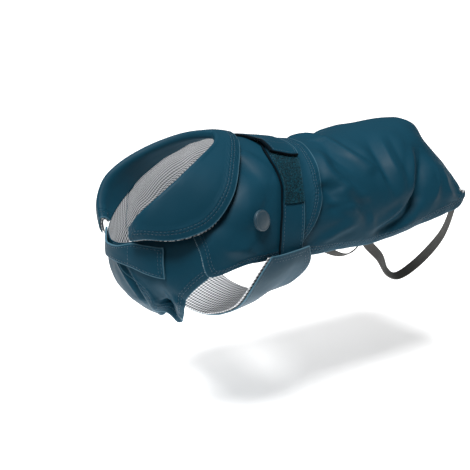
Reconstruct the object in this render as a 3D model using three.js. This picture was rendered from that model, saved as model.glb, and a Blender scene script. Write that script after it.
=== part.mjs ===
// Dog raincoat with a shoulder cape, worn shape, empty inside.
// Millimetres. The head end is toward -X, the tail end toward +X, up is +Z.
// The left flank (the side shown) is toward -Y. The origin is on the inside
// of the back, at its middle, where the wearer holds the coat.
import * as THREE from "three";
import { mergeVertices } from "three/examples/jsm/utils/BufferGeometryUtils.js";

// Sizes.
const CLOTH = 1.3;            // wall of each cloth layer
const DOUBLED = 1.8;          // wall of the strap and the tab, sewn double
const CHECKED = 1.0;          // wall of the band's gingham lining
const GAP = 0.5;              // between two layers that lie on each other
const SEAM = 0.5;             // between two pieces sewn edge to edge
const BODY = 0;               // inner face of the rear body, off the wearer
const YOKE = BODY + CLOTH + GAP;      // inner face of cape and chest pieces
const TRIM = YOKE + CLOTH + 0.75;     // inner face of belts, on the cape
const TOP = TRIM + CLOTH + 0.6;       // inner face of what lies on a belt
const SNAP_RADIUS = 8.8;
const SNAP_HEIGHT = 3.6;
const SNAP_LEAN = 9;          // degrees that the caps lean back from the cloth
const SNAP_AT = { s: 0.345, a: 80 };
const SNAP_SINK = 0.55;       // the cloth gives a little under the cap
const ELASTIC_WIDTH = 9;
const ELASTIC_WALL = 1.2;

// The body form: slices through the trunk from the neck ring (s = 0) to the
// rear edge. Each slice runs from its top point to its bottom point.
// half: half width. mid: where the slice is widest, as a share of its depth.
// up, down: roundness above and below that place (2 is an ellipse).
const SLICES = [
  { s: 0.00, topX: -88, topZ: 8, botX: -193, botZ: -66, half: 46, mid: 0.50, up: 2.0, down: 2.0 },
  { s: 0.12, topX: -74, topZ: 6.5, botX: -191, botZ: -85, half: 58.5, mid: 0.50, up: 2.1, down: 2.0 },
  { s: 0.24, topX: -62, topZ: 4.5, botX: -186, botZ: -104, half: 69.5, mid: 0.50, up: 2.2, down: 2.1 },
  { s: 0.36, topX: -51, topZ: 2, botX: -175, botZ: -122, half: 75.5, mid: 0.50, up: 2.2, down: 2.1 },
  { s: 0.50, topX: -38, topZ: 0, botX: -148, botZ: -137, half: 78, mid: 0.50, up: 2.2, down: 2.2 },
  { s: 0.75, topX: -15, topZ: -2.5, botX: -75, botZ: -127, half: 78, mid: 0.50, up: 2.2, down: 2.3 },
  { s: 1.00, topX: 5, topZ: -3, botX: 0, botZ: -124, half: 78, mid: 0.48, up: 2.2, down: 2.3 },
  { s: 1.30, topX: 50, topZ: 1.5, botX: 50, botZ: -124, half: 78, mid: 0.48, up: 2.2, down: 2.2 },
  { s: 1.70, topX: 98, topZ: 9, botX: 100, botZ: -118, half: 77, mid: 0.52, up: 1.95, down: 2.2 },
  { s: 2.00, topX: 119, topZ: 9.5, botX: 134, botZ: -114, half: 74, mid: 0.56, up: 1.45, down: 2.2 },
  { s: 2.20, topX: 128, topZ: 7, botX: 170, botZ: -110, half: 70, mid: 0.58, up: 1.1, down: 2.2 },
];
const S_END = 2.2;
const NECK = SEAM / 120;      // where the cape and the chest pieces begin
const BODY_START = 0.52;      // where the rear body begins, under the cape

// Side edges of the pieces: the angle from the top of the back, in degrees,
// at which each piece ends along its length.
const HEM = [
  { s: 0.50, rear: 94 },
  { s: 0.75, rear: 104.5 },
  { s: 0.92, rear: 110 },
  { s: 1.12, rear: 114.5 },
  { s: 1.36, rear: 112.5 },
  { s: 1.65, rear: 107 },
  { s: 1.90, rear: 101 },
  { s: 2.05, rear: 98 },
  { s: 2.13, rear: 91 },
  { s: 2.20, rear: 76 },
];
// The rear edge of the body, which draws in above each lower corner.
const REAR_EDGE = [
  { a: 0, s: 2.20 },
  { a: 45, s: 2.20 },
  { a: 55, s: 2.17 },
  { a: 63, s: 2.145 },
  { a: 70, s: 2.16 },
  { a: 76, s: 2.20 },
];
// The cape: rear edge along the angle, and the seam to the chest piece.
const CAPE_REAR = [
  { a: 0, s: 0.80 },
  { a: 13, s: 0.775 },
  { a: 25, s: 0.748 },
  { a: 38, s: 0.732 },
  { a: 50, s: 0.728 },
  { a: 60, s: 0.733 },
  { a: 70, s: 0.732 },
  { a: 82, s: 0.723 },
  { a: 92, s: 0.69 },
  { a: 100, s: 0.67 },
];
const CAPE_SIDE = [
  { s: 0.00, a: 108 },
  { s: 0.14, a: 110 },
  { s: 0.22, a: 112 },
  { s: 0.34, a: 117.5 },
  { s: 0.37, a: 114.5 },
  { s: 0.42, a: 104 },
  { s: 0.46, a: 99.5 },
  { s: 0.52, a: 98 },
  { s: 0.72, a: 96 },
];
// The seam ends at this s, and the chest pieces begin this many degrees on.
const SEAM_END = 0.335;
const SEAM_TURN = 0.45;
// The chest pieces: lower edge (armhole, then under the chest).
const CHEST_END = [
  { a: 110, s: 0.345 },
  { a: 116, s: 0.35 },
  { a: 122, s: 0.35 },
  { a: 130, s: 0.355 },
  { a: 138, s: 0.375 },
  { a: 145, s: 0.42 },
  { a: 152, s: 0.454 },
  { a: 158, s: 0.481 },
  { a: 161, s: 0.474 },
  { a: 169, s: 0.445 },
  { a: 180, s: 0.435 },
  { a: 216, s: 0.41 },
];
// The free edge of the left chest piece, which laps over the right one.
const LAP = [
  { s: 0.00, a: 177 },
  { s: 0.13, a: 170.5 },
  { s: 0.215, a: 162.5 },
  { s: 0.30, a: 159 },
  { s: 0.38, a: 158.5 },
  { s: 0.50, a: 160.5 },
];
// How far round the right chest piece runs, under the left one, and how far
// the left one is raised to lie on it.
const LAP_UNDER = 216;
const LAP_RISE = CLOTH + GAP + 0.7;
// The belt strips down each side of the cape.
const BELT = [
  { a: 15, front: 0.25, rear: 0.54 },
  { a: 28, front: 0.235, rear: 0.565 },
  { a: 40, front: 0.28, rear: 0.56 },
  { a: 52, front: 0.355, rear: 0.565 },
  { a: 66, front: 0.425, rear: 0.60 },
  { a: 80, front: 0.494, rear: 0.64 },
  { a: 95, front: 0.575, rear: 0.69 },
];
// The strap over the back, from its free end on the left side to the right.
// lift: how far its inner face stands off the wearer.
const STRAP = [
  { a: -32, front: 0.265, rear: 0.55, lift: 7.4 },
  { a: -24, front: 0.235, rear: 0.55, lift: 7.4 },
  { a: -14, front: 0.21, rear: 0.54, lift: 6.8 },
  { a: 0, front: 0.185, rear: 0.51, lift: 5.4 },
  { a: 18, front: 0.18, rear: 0.48, lift: 5.9 },
  { a: 36, front: 0.235, rear: 0.48, lift: 5.9 },
  { a: 52, front: 0.345, rear: 0.545, lift: 5.9 },
];
// The belly band, from its free end on the left side, under the belly, to
// the right side. flare: how far the front edge stands out past the rear.
const BAND = [
  { a: -94, front: 0.515, rear: 0.71, lift: 5.9, flare: 0.4 },
  { a: -104, front: 0.51, rear: 0.755, lift: 5.2, flare: 3 },
  { a: -116, front: 0.525, rear: 0.775, lift: 4.0, flare: 4.5 },
  { a: -131, front: 0.555, rear: 0.775, lift: 2.2, flare: 5 },
  { a: -150, front: 0.575, rear: 0.765, lift: 0.8, flare: 3.5 },
  { a: -180, front: 0.58, rear: 0.76, lift: 0.5, flare: 2 },
  { a: -210, front: 0.56, rear: 0.76, lift: 0.8, flare: 2.5 },
  { a: -229, front: 0.52, rear: 0.76, lift: 2.2, flare: 3 },
  { a: -244, front: 0.485, rear: 0.765, lift: 4.0, flare: 2.5 },
  { a: -256, front: 0.48, rear: 0.755, lift: 5.2, flare: 1.5 },
  { a: -266, front: 0.475, rear: 0.70, lift: 5.9, flare: 0.4 },
];
// The neck tab, from its free end on the left side round to the right: its
// upper edge (s0, a0) and its lower edge (s1, a1).
const TAB = [
  { k: 0, s0: 0.100, a0: -129, s1: 0.230, a1: -137 },
  { k: 1, s0: 0.045, a0: -141, s1: 0.178, a1: -148 },
  { k: 2, s0: 0.010, a0: -152, s1: 0.128, a1: -158 },
  { k: 3, s0: 0.008, a0: -166, s1: 0.098, a1: -170 },
  { k: 4, s0: 0.008, a0: -181, s1: 0.090, a1: -184 },
  { k: 5, s0: 0.008, a0: -196, s1: 0.095, a1: -199 },
  { k: 6, s0: 0.010, a0: -212, s1: 0.110, a1: -214 },
];
// The collar, in the plane of the neck ring. turn: angle from the nape.
// foldR, foldUp: the fold line. edgeR, edgeUp: the free edge.
const COLLAR = [
  { turn: 0, foldR: 64, foldUp: 7.5, edgeR: 77, edgeUp: -4.5 },
  { turn: 25, foldR: 57, foldUp: 12.5, edgeR: 70.8, edgeUp: -3.0 },
  { turn: 50, foldR: 48.5, foldUp: 18, edgeR: 69.3, edgeUp: -4.0 },
  { turn: 75, foldR: 46, foldUp: 21.5, edgeR: 70.2, edgeUp: -11.5 },
  { turn: 97, foldR: 48.5, foldUp: 23.5, edgeR: 70.5, edgeUp: -15.5 },
  { turn: 112, foldR: 52, foldUp: 24, edgeR: 71.5, edgeUp: -11 },
  { turn: 124, foldR: 56, foldUp: 23.5, edgeR: 71.5, edgeUp: -4.5 },
  { turn: 138, foldR: 60, foldUp: 20.5, edgeR: 70, edgeUp: 4.5 },
  { turn: 151, foldR: 62, foldUp: 13, edgeR: 68.5, edgeUp: 6 },
];
// The right front corner of the collar hangs lower than the left one.
const RIGHT_DROP = 12;
// The largest folds: a ridge (high > 0) or valley (high < 0) from one place
// to another. wide: its half width in mm. Angles below 0 are on the left.
const FOLDS = [
  { s0: 1.09, a0: -6, s1: 1.16, a1: -50, wide: 8, high: 2.2 },
  { s0: 0.84, a0: -30, s1: 1.03, a1: -72, wide: 8, high: 2.4 },
  { s0: 0.90, a0: -66, s1: 0.99, a1: -86, wide: 6, high: 1.8 },
  { s0: 1.50, a0: -24, s1: 1.38, a1: -76, wide: 14, high: 2.6 },
  { s0: 1.68, a0: -50, s1: 1.52, a1: -84, wide: 13, high: -4.2 },
  { s0: 1.52, a0: -84, s1: 1.20, a1: -101, wide: 11, high: -3.4 },
  { s0: 1.98, a0: -62, s1: 1.93, a1: -84, wide: 9, high: 2.6 },
  { s0: 0.82, a0: -60, s1: 0.90, a1: -74, wide: 8, high: -2.4 },
  { s0: 1.12, a0: 8, s1: 1.18, a1: 52, wide: 9, high: 2.0 },
  { s0: 0.86, a0: 34, s1: 1.05, a1: 76, wide: 9, high: 2.2 },
  { s0: 1.46, a0: 26, s1: 1.42, a1: 78, wide: 14, high: 2.4 },
  { s0: 1.70, a0: 52, s1: 1.50, a1: 86, wide: 13, high: -3.8 },
  { s0: 1.50, a0: 86, s1: 1.22, a1: 100, wide: 11, high: -3.0 },
  { s0: 1.96, a0: 60, s1: 1.94, a1: 84, wide: 9, high: 2.2 },
  { s0: 0.08, a0: -41, s1: 0.28, a1: -57, wide: 8, high: 2.2 },
  { s0: 0.10, a0: 42, s1: 0.27, a1: 56, wide: 8, high: 2.0 },
  { s0: 0.21, a0: -68, s1: 0.225, a1: -92, wide: 15, high: 3.4 },
  { s0: 0.21, a0: 68, s1: 0.225, a1: 92, wide: 15, high: 3.4 },
  { s0: 0.38, a0: -142, s1: 0.50, a1: -159, wide: 5, high: 3.2 },
  { s0: 0.38, a0: -156, s1: 0.47, a1: -163, wide: 6, high: 2.2 },
];
// The pinched hollow in the chest, beside the hem of the left armhole.
const PINCH = { s0: 0.34, a0: -146.5, s1: 0.425, a1: -155, wide: 6.4, high: -6.5 };
// The side hems of the rear body turn in toward the wearer.
const TUCK = { deep: 3.5, before: 12, past: 3 };

const rad = (deg) => deg * Math.PI / 180;
const clamp = (x, lo, hi) => Math.min(hi, Math.max(lo, x));
const mix = (x, y, t) => x + (y - x) * t;
function smooth(x, from, to) {
  const t = clamp((x - from) / (to - from), 0, 1);
  return t * t * (3 - 2 * t);
}

// The same angle between -180 and 180.
const wrap = (a) => a - 360 * Math.round(a / 360);

// A smooth curve through one column of a table.
function read(table, key, column, at) {
  const last = table.length - 1;
  const sign = table[last][key] < table[0][key] ? -1 : 1;
  const x = at * sign;
  const pos = (i) => table[i][key] * sign;
  if (x <= pos(0)) return table[0][column];
  if (x >= pos(last)) return table[last][column];
  let i = 0;
  while (x > pos(i + 1)) i += 1;
  const slope = (k) => {
    const lo = Math.max(0, k - 1);
    const hi = Math.min(last, k + 1);
    return (table[hi][column] - table[lo][column]) / (pos(hi) - pos(lo));
  };
  const h = pos(i + 1) - pos(i);
  const u = (x - pos(i)) / h;
  const y0 = table[i][column];
  const y1 = table[i + 1][column];
  const u2 = u * u;
  const u3 = u2 * u;
  return (2 * u3 - 3 * u2 + 1) * y0 + (u3 - 2 * u2 + u) * slope(i) * h
    + (3 * u2 - 2 * u3) * y1 + (u3 - u2) * slope(i + 1) * h;
}

// A point of the plain body form. a: angle from the top of the back.
function form(s, a) {
  const topX = read(SLICES, "s", "topX", s);
  const topZ = read(SLICES, "s", "topZ", s);
  const botX = read(SLICES, "s", "botX", s);
  const botZ = read(SLICES, "s", "botZ", s);
  const half = read(SLICES, "s", "half", s);
  const mid = read(SLICES, "s", "mid", s);
  const c = Math.cos(rad(a));
  const y = Math.sin(rad(a));
  // The ridge of the back stays round where the flanks below it are flat.
  const flank = smooth(Math.abs(Math.sin(rad(a))), 0, 0.6);
  const round = c >= 0 ? mix(2, read(SLICES, "s", "up", s), flank) : read(SLICES, "s", "down", s);
  const power = 2 / round;
  const out = Math.abs(y) ** power;
  const along = Math.abs(c) ** power;
  const share = c >= 0 ? mid * (1 - along) : mid + (1 - mid) * along;
  return new THREE.Vector3(
    mix(topX, botX, share),
    Math.sign(y) * half * out,
    mix(topZ, botZ, share),
  );
}

function normalOf(surface, s, a) {
  const ds = 0.004;
  const da = 0.4;
  const s0 = Math.max(0, s - ds);
  const s1 = Math.min(S_END, s + ds);
  const alongS = surface(s1, a).sub(surface(s0, a));
  const alongA = surface(s, a + da).sub(surface(s, a - da));
  return alongA.cross(alongS).normalize().negate();
}

// Height of one fold at a place, from the distance to its line in mm.
function foldHeight(fold, s, a) {
  const scale = read(SLICES, "s", "topX", s + 0.05) - read(SLICES, "s", "topX", s - 0.05);
  const perS = Math.max(60, scale / 0.1);
  const perA = 1.35;
  const lineX = (fold.s1 - fold.s0) * perS;
  const lineY = (fold.a1 - fold.a0) * perA;
  const x = (s - fold.s0) * perS;
  const y = (a - fold.a0) * perA;
  const long = Math.hypot(lineX, lineY);
  const t = (x * lineX + y * lineY) / (long * long);
  const near = clamp(t, 0, 1);
  const away = Math.hypot(x - lineX * near, y - lineY * near);
  return fold.high * Math.exp(-((away / fold.wide) ** 2));
}

// Everything that moves the cloth off the plain form, in mm.
function relief(s, a) {
  const angle = wrap(a);
  let sum = 0;
  for (const fold of FOLDS) {
    sum += foldHeight(fold, s, angle);
  }
  const hem = read(HEM, "s", "rear", s);
  const tuck = smooth(Math.abs(angle), hem - TUCK.before, hem + TUCK.past);
  sum -= TUCK.deep * tuck * smooth(s, 0.80, 0.95) * (1 - smooth(s, 1.5, 1.9));
  return sum;
}

function folded(s, a) {
  const point = form(s, a);
  return point.addScaledVector(normalOf(form, s, a), relief(s, a));
}

// A point of the garment at a height off the wearer.
function skin(s, a, height) {
  const pinch = foldHeight(PINCH, s, wrap(a));
  return folded(s, a).addScaledVector(normalOf(folded, s, a), height + pinch);
}

// A closed wall between two grids of points. place(u, v, side) gives a point,
// u and v from 0 to 1, side 0 for the inner face and 1 for the outer.
function wall(columns, rows, place) {
  const points = [];
  const faces = [];
  const at = (i, j, side) => (side * (rows + 1) + j) * (columns + 1) + i;
  for (let side = 0; side < 2; side += 1) {
    for (let j = 0; j <= rows; j += 1) {
      for (let i = 0; i <= columns; i += 1) {
        const point = place(i / columns, j / rows, side);
        points.push(point.x, point.y, point.z);
      }
    }
  }
  const quad = (p, q, r, t) => faces.push(p, q, r, p, r, t);
  for (let j = 0; j < rows; j += 1) {
    for (let i = 0; i < columns; i += 1) {
      quad(at(i, j, 1), at(i + 1, j, 1), at(i + 1, j + 1, 1), at(i, j + 1, 1));
      quad(at(i, j, 0), at(i, j + 1, 0), at(i + 1, j + 1, 0), at(i + 1, j, 0));
    }
  }
  for (let i = 0; i < columns; i += 1) {
    quad(at(i, 0, 0), at(i + 1, 0, 0), at(i + 1, 0, 1), at(i, 0, 1));
    quad(at(i, rows, 1), at(i + 1, rows, 1), at(i + 1, rows, 0), at(i, rows, 0));
  }
  for (let j = 0; j < rows; j += 1) {
    quad(at(0, j, 1), at(0, j + 1, 1), at(0, j + 1, 0), at(0, j, 0));
    quad(at(columns, j, 0), at(columns, j + 1, 0), at(columns, j + 1, 1), at(columns, j, 1));
  }
  return outward(points, faces);
}

// Turns a closed body right side out when its volume comes out negative.
function outward(points, faces) {
  let volume = 0;
  const p = new THREE.Vector3();
  const q = new THREE.Vector3();
  const r = new THREE.Vector3();
  for (let k = 0; k < faces.length; k += 3) {
    p.fromArray(points, faces[k] * 3);
    q.fromArray(points, faces[k + 1] * 3);
    r.fromArray(points, faces[k + 2] * 3);
    volume += p.dot(q.cross(r));
  }
  if (volume < 0) {
    faces.reverse();
  }
  const geometry = new THREE.BufferGeometry();
  geometry.setAttribute("position", new THREE.Float32BufferAttribute(points, 3));
  geometry.setIndex(faces);
  geometry.computeVertexNormals();
  return geometry;
}

// Stops between -1 and 1, evenly spaced, for a piece as wide as its edge.
const spread = (v) => 2 * v - 1;

function rearBody() {
  return wall(24, 34, (u, v, side) => {
    let s = mix(BODY_START, S_END, u ** 0.92);
    for (let pass = 0; pass < 3; pass += 1) {
      const turn = Math.abs(spread(v)) * read(HEM, "s", "rear", s);
      s = mix(BODY_START, read(REAR_EDGE, "a", "s", turn), u ** 0.92);
    }
    const a = spread(v) * read(HEM, "s", "rear", s);
    return skin(s, a, BODY + side * CLOTH);
  });
}

// The free rear edge of the cape stands a little off the body, and what
// lies on the cape goes with it.
function capeStand(s, a) {
  const angle = Math.abs(wrap(a));
  const edge = read(CAPE_REAR, "a", "s", angle);
  const near = smooth(s, edge - 0.16, edge);
  const wave = 0.7 + 0.3 * Math.cos(rad(wrap(a) * 2.3 + 20));
  return 1.8 * near * wave * (1 - smooth(angle, 102, 118));
}

function over(s, a, height) {
  return skin(s, a, height + capeStand(s, a));
}

function cape() {
  return wall(13, 38, (u, v, side) => {
    const turn = spread(v);
    let s = u * 0.72;
    let a = turn * 96;
    for (let pass = 0; pass < 4; pass += 1) {
      s = mix(NECK, read(CAPE_REAR, "a", "s", Math.abs(a)), u);
      a = turn * read(CAPE_SIDE, "s", "a", s);
    }
    return over(s, a, YOKE + side * CLOTH);
  });
}

// side: -1 left, 1 right. The left piece laps over the right one.
function chest(side, columns, rows) {
  const lap = side < 0 ? LAP_RISE : 0;
  return wall(columns, rows, (u, v, face) => {
    let s = v * 0.4;
    let a = 110;
    for (let pass = 0; pass < 6; pass += 1) {
      const seam = read(CAPE_SIDE, "s", "a", Math.min(s, SEAM_END)) + SEAM_TURN;
      a = mix(seam, side < 0 ? read(LAP, "s", "a", s) : LAP_UNDER, u);
      s = mix(NECK, read(CHEST_END, "a", "s", a), v);
    }
    const rise = lap * smooth(a, 122, 138);
    // The right piece sinks deeper into the hollow, clear of the left one.
    const sink = side < 0 ? 0 : 0.3 * foldHeight(PINCH, s, wrap(a));
    return skin(s, a * side, YOKE + rise + sink + face * CLOTH);
  });
}

function strip(table, columns, rows, height, thick, inset) {
  const first = table[0].a;
  const last = table[table.length - 1].a;
  return wall(columns, rows, (u, v, side) => {
    const a = mix(first, last, v);
    const front = read(table, "a", "front", a) + inset;
    const rear = read(table, "a", "rear", a) - inset;
    return over(mix(front, rear, u), a, height(u, a) + side * thick);
  });
}

const mirrored = (table) => table.map((row) => ({ ...row, a: -row.a }));

function belt(side) {
  const table = side < 0 ? mirrored(BELT) : BELT;
  return wall(4, 17, (u, v, face) => {
    const a = mix(table[0].a, table[table.length - 1].a, v);
    const s = mix(read(table, "a", "front", a), read(table, "a", "rear", a), u);
    return over(s, a, TRIM + face * CLOTH);
  });
}

function loopPatch() {
  const table = mirrored(BELT);
  return wall(4, 12, (u, v, face) => {
    const a = mix(-21, -66, v);
    const front = read(table, "a", "front", a);
    const rear = read(table, "a", "rear", a);
    const s = mix(front, rear, mix(0.2, 0.93, u));
    return over(s, a, TOP + face * 1.1);
  });
}

function backStrap() {
  return strip(STRAP, 4, 22, (u, a) => read(STRAP, "a", "lift", a), DOUBLED, 0);
}

function bandHeight(u, a) {
  const flare = read(BAND, "a", "flare", a);
  return read(BAND, "a", "lift", a) + flare * (1 - u) ** 1.5;
}

function bellyBand() {
  return strip(BAND, 5, 22, (u, a) => bandHeight(u, a) + CHECKED + GAP + 0.25, CLOTH, 0);
}

function bellyLining() {
  return strip(BAND, 5, 22, bandHeight, CHECKED, 0.003);
}

// The tab lies over the lap of the chest pieces, then down on the right one.
function tabHeight(v) {
  const lap = TOP + 0.6 + 0.5 * (1 - smooth(v, 0, 0.3));
  return mix(lap, YOKE + CLOTH + GAP, smooth(v, 0.68, 0.94));
}

function neckTab() {
  const last = TAB.length - 1;
  return wall(5, 18, (u, v, side) => {
    const s = mix(read(TAB, "k", "s0", v * last), read(TAB, "k", "s1", v * last), u);
    const a = mix(read(TAB, "k", "a0", v * last), read(TAB, "k", "a1", v * last), u);
    return skin(s, a, tabHeight(v) + side * DOUBLED);
  });
}

// The neck ring's own axes, for the collar.
const ring = {
  centre: new THREE.Vector3(-144, 0, -28),
  back: new THREE.Vector3(0.814, 0, 0.581),
  side: new THREE.Vector3(0, 1, 0),
  up: new THREE.Vector3(-0.581, 0, 0.814),
};

function ringPoint(turn, radius, up) {
  return ring.centre.clone()
    .addScaledVector(ring.back, Math.cos(rad(turn)) * radius)
    .addScaledVector(ring.side, Math.sin(rad(turn)) * radius)
    .addScaledVector(ring.up, up);
}

// The neck seam at a turn about the ring: its radius and its height.
function seam(turn) {
  let a = turn;
  let x = 0;
  let y = 0;
  let z = 0;
  for (let pass = 0; pass < 5; pass += 1) {
    const off = skin(0, a, YOKE + CLOTH / 2).sub(ring.centre);
    x = off.dot(ring.back);
    y = off.dot(ring.side);
    z = off.dot(ring.up);
    a += turn - Math.atan2(y, x) * 180 / Math.PI;
  }
  return { r: Math.hypot(x, y), up: z };
}

// The collar in profile: up from the neck seam, over the fold, down to the
// free edge. Returns the place at w (0 to 1) and the way out of the cloth.
function collarProfile(turn, w) {
  const at = Math.abs(turn);
  const drop = RIGHT_DROP * smooth(turn, 110, 151);
  const foldR = read(COLLAR, "turn", "foldR", at);
  const foldUp = read(COLLAR, "turn", "foldUp", at) - drop * 0.6;
  const edgeR = read(COLLAR, "turn", "edgeR", at);
  const edgeUp = read(COLLAR, "turn", "edgeUp", at) - drop;
  const foot = seam(at);
  const footR = foot.r;
  const footUp = foot.up + SEAM + 0.6;
  const bend = 2.6;
  const line = new THREE.CatmullRomCurve3([
    new THREE.Vector3(footR, footUp, 0),
    new THREE.Vector3(mix(footR, foldR - bend, 0.55), mix(footUp, foldUp - bend, 0.5), 0),
    new THREE.Vector3(foldR - bend, foldUp - bend, 0),
    new THREE.Vector3(foldR, foldUp, 0),
    new THREE.Vector3(foldR + bend, foldUp - bend * 0.8, 0),
    new THREE.Vector3(mix(foldR + bend, edgeR, 0.5) + 1.2, mix(foldUp - bend, edgeUp, 0.45), 0),
    new THREE.Vector3(edgeR, edgeUp, 0),
  ], false, "centripetal");
  const point = line.getPoint(w);
  const way = line.getTangent(w);
  return { r: point.x, up: point.y, outR: -way.y, outUp: way.x };
}

// from, to: the layer's two faces, measured from the fold's middle line.
function collarLayer(from, to) {
  return wall(10, 28, (u, v, side) => {
    const turn = spread(v) * COLLAR[COLLAR.length - 1].turn;
    const mark = collarProfile(turn, u);
    const off = side ? to : from;
    return ringPoint(turn, mark.r + mark.outR * off, mark.up + mark.outUp * off);
  });
}

function snap(side) {
  const profile = [
    [0, 0], [0.86, 0], [1, 0.28], [1, 0.55], [0.93, 0.78], [0.80, 0.80],
    [0.74, 0.70], [0.60, 0.86], [0.32, 0.97], [0, 1],
  ];
  const shape = profile.map(([r, h]) => new THREE.Vector2(r * SNAP_RADIUS, h * SNAP_HEIGHT));
  let geometry = new THREE.LatheGeometry(shape, 28);
  geometry.deleteAttribute("uv");
  geometry.deleteAttribute("normal");
  geometry = mergeVertices(geometry, 1e-4);
  const height = TRIM - SNAP_SINK + SNAP_RADIUS * Math.sin(rad(SNAP_LEAN));
  const seat = over(SNAP_AT.s, side * SNAP_AT.a, height);
  const out = normalOf(folded, SNAP_AT.s, side * SNAP_AT.a);
  out.x += Math.tan(rad(SNAP_LEAN));
  out.normalize();
  geometry.applyQuaternion(new THREE.Quaternion().setFromUnitVectors(new THREE.Vector3(0, 1, 0), out));
  geometry.translate(seat.x, seat.y, seat.z);
  geometry = tidy(geometry);
  return geometry;
}

// Drops the empty triangles at the poles of a turned body.
function tidy(geometry) {
  const index = geometry.getIndex().array;
  const faces = [];
  for (let k = 0; k < index.length; k += 3) {
    const [p, q, r] = [index[k], index[k + 1], index[k + 2]];
    if (p !== q && q !== r && r !== p) {
      faces.push(p, q, r);
    }
  }
  return outward(Array.from(geometry.getAttribute("position").array), faces);
}

// A hind-leg elastic: a flat band from inside the side hem, behind the leg
// and up to the rear hem. Its ends lie on the body's inner face.
const ELASTIC_ENDS = { from: 1.13, to: 2.03 };
// Its free run between them, on the left side. roll turns the band's flat.
const ELASTIC = [
  { t: 1, x: 47, y: -62, z: -106, roll: 6 },
  { t: 2, x: 70, y: -50, z: -129, roll: 34 },
  { t: 3, x: 94, y: -41, z: -139, roll: 62 },
  { t: 4, x: 118, y: -43, z: -128, roll: 40 },
  { t: 5, x: 134, y: -55, z: -102, roll: 12 },
];

function legElastic(side) {
  // Three places that follow the inner face up from the hem.
  const seat = (s, past) => {
    const a = (read(HEM, "s", "rear", s) + past) * side;
    return skin(s, a, BODY - GAP - 0.95 - ELASTIC_WALL / 2);
  };
  const { from, to } = ELASTIC_ENDS;
  const line = new THREE.CatmullRomCurve3([
    seat(from - 0.02, -12),
    seat(from, -5),
    seat(from + 0.02, 2),
    ...ELASTIC.map((row) => new THREE.Vector3(row.x, -row.y * side, row.z)),
    seat(to - 0.01, 2),
    seat(to, -5),
    seat(to + 0.01, -12),
  ], false, "centripetal");
  const spans = ELASTIC.length + 5;
  const rows = [{ t: 2, roll: 0 }, ...ELASTIC.map((row) => ({ ...row, t: row.t + 2 })),
    { t: spans - 2, roll: 0 }];
  return wall(1, 36, (u, v, face) => {
    const t = v * spans;
    const point = line.getPoint(v);
    const way = line.getTangent(v);
    const low = new THREE.Vector3(0, side, 0);
    const sewn = t < spans / 2
      ? normalOf(folded, from, (read(HEM, "s", "rear", from) - 5) * side)
      : normalOf(folded, to, (read(HEM, "s", "rear", to) - 5) * side);
    const near = t < spans / 2 ? smooth(t, 2, 3) : smooth(spans - t, 2, 3);
    const out = sewn.lerp(low, near);
    out.addScaledVector(way, -out.dot(way)).normalize();
    out.applyAxisAngle(way, rad(read(rows, "t", "roll", t)) * side);
    const across = new THREE.Vector3().crossVectors(way, out);
    return point
      .addScaledVector(across, (u - 0.5) * ELASTIC_WIDTH)
      .addScaledVector(out, (face - 0.5) * ELASTIC_WALL);
  });
}

const cloth = { color: 0x1c4a60, roughness: 0.38, metalness: 0 };
const lining = { color: 0x9fa9b4, roughness: 0.9, metalness: 0 };
const loop = { color: 0x0d4256, roughness: 1, metalness: 0 };
const capMetal = { color: 0x43535c, roughness: 0.45, metalness: 0.3 };
const elastic = { color: 0x4a4a48, roughness: 0.9, metalness: 0 };

// The origin is put on the inside of the back, over the middle of the coat.
const hold = skin(0.94, 0, BODY);
const group = new THREE.Group();
function add(name, geometry, look) {
  const mesh = new THREE.Mesh(geometry, new THREE.MeshStandardMaterial(look));
  mesh.position.copy(hold).negate();
  mesh.name = name;
  group.add(mesh);
}

add("rear_body", rearBody(), cloth);
add("cape", cape(), cloth);
add("chest_left", chest(-1, 18, 16), cloth);
add("chest_right", chest(1, 24, 14), cloth);
add("collar", collarLayer(0.3, 0.3 + CLOTH), cloth);
add("under_collar", collarLayer(-0.3 - CLOTH, -0.3), lining);
add("belt_left", belt(-1), cloth);
add("belt_right", belt(1), cloth);
add("loop_patch", loopPatch(), loop);
add("back_strap", backStrap(), cloth);
add("belly_band", bellyBand(), cloth);
add("belly_band_lining", bellyLining(), lining);
add("neck_tab", neckTab(), cloth);
add("snap_left", snap(-1), capMetal);
add("snap_right", snap(1), capMetal);
add("leg_elastic_left", legElastic(-1), elastic);
add("leg_elastic_right", legElastic(1), elastic);

export default group;
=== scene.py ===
import bpy
import numpy as np
from mathutils import Matrix, Vector


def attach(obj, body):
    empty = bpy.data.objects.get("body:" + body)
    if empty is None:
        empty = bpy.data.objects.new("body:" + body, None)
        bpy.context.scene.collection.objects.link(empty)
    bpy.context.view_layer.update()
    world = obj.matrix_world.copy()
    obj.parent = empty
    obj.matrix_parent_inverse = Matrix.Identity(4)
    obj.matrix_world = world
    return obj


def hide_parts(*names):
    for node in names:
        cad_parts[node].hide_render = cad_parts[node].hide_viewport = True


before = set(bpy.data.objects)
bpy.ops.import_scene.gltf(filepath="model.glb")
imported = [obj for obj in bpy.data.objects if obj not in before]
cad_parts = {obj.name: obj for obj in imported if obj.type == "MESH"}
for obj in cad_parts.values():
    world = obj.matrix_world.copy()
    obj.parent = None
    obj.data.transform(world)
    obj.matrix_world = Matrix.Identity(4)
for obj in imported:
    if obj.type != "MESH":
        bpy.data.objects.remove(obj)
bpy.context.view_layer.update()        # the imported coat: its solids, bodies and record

bl_info = {
    "name": "Dog Raincoat",
    "version": (1, 0, 0),
    "blender": (4, 5, 0),
    "location": "View3D > Sidebar > Raincoat",
    "description": "Builds a dog raincoat in coated cloth with gingham inside",
    "category": "Add Mesh",
}

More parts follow.
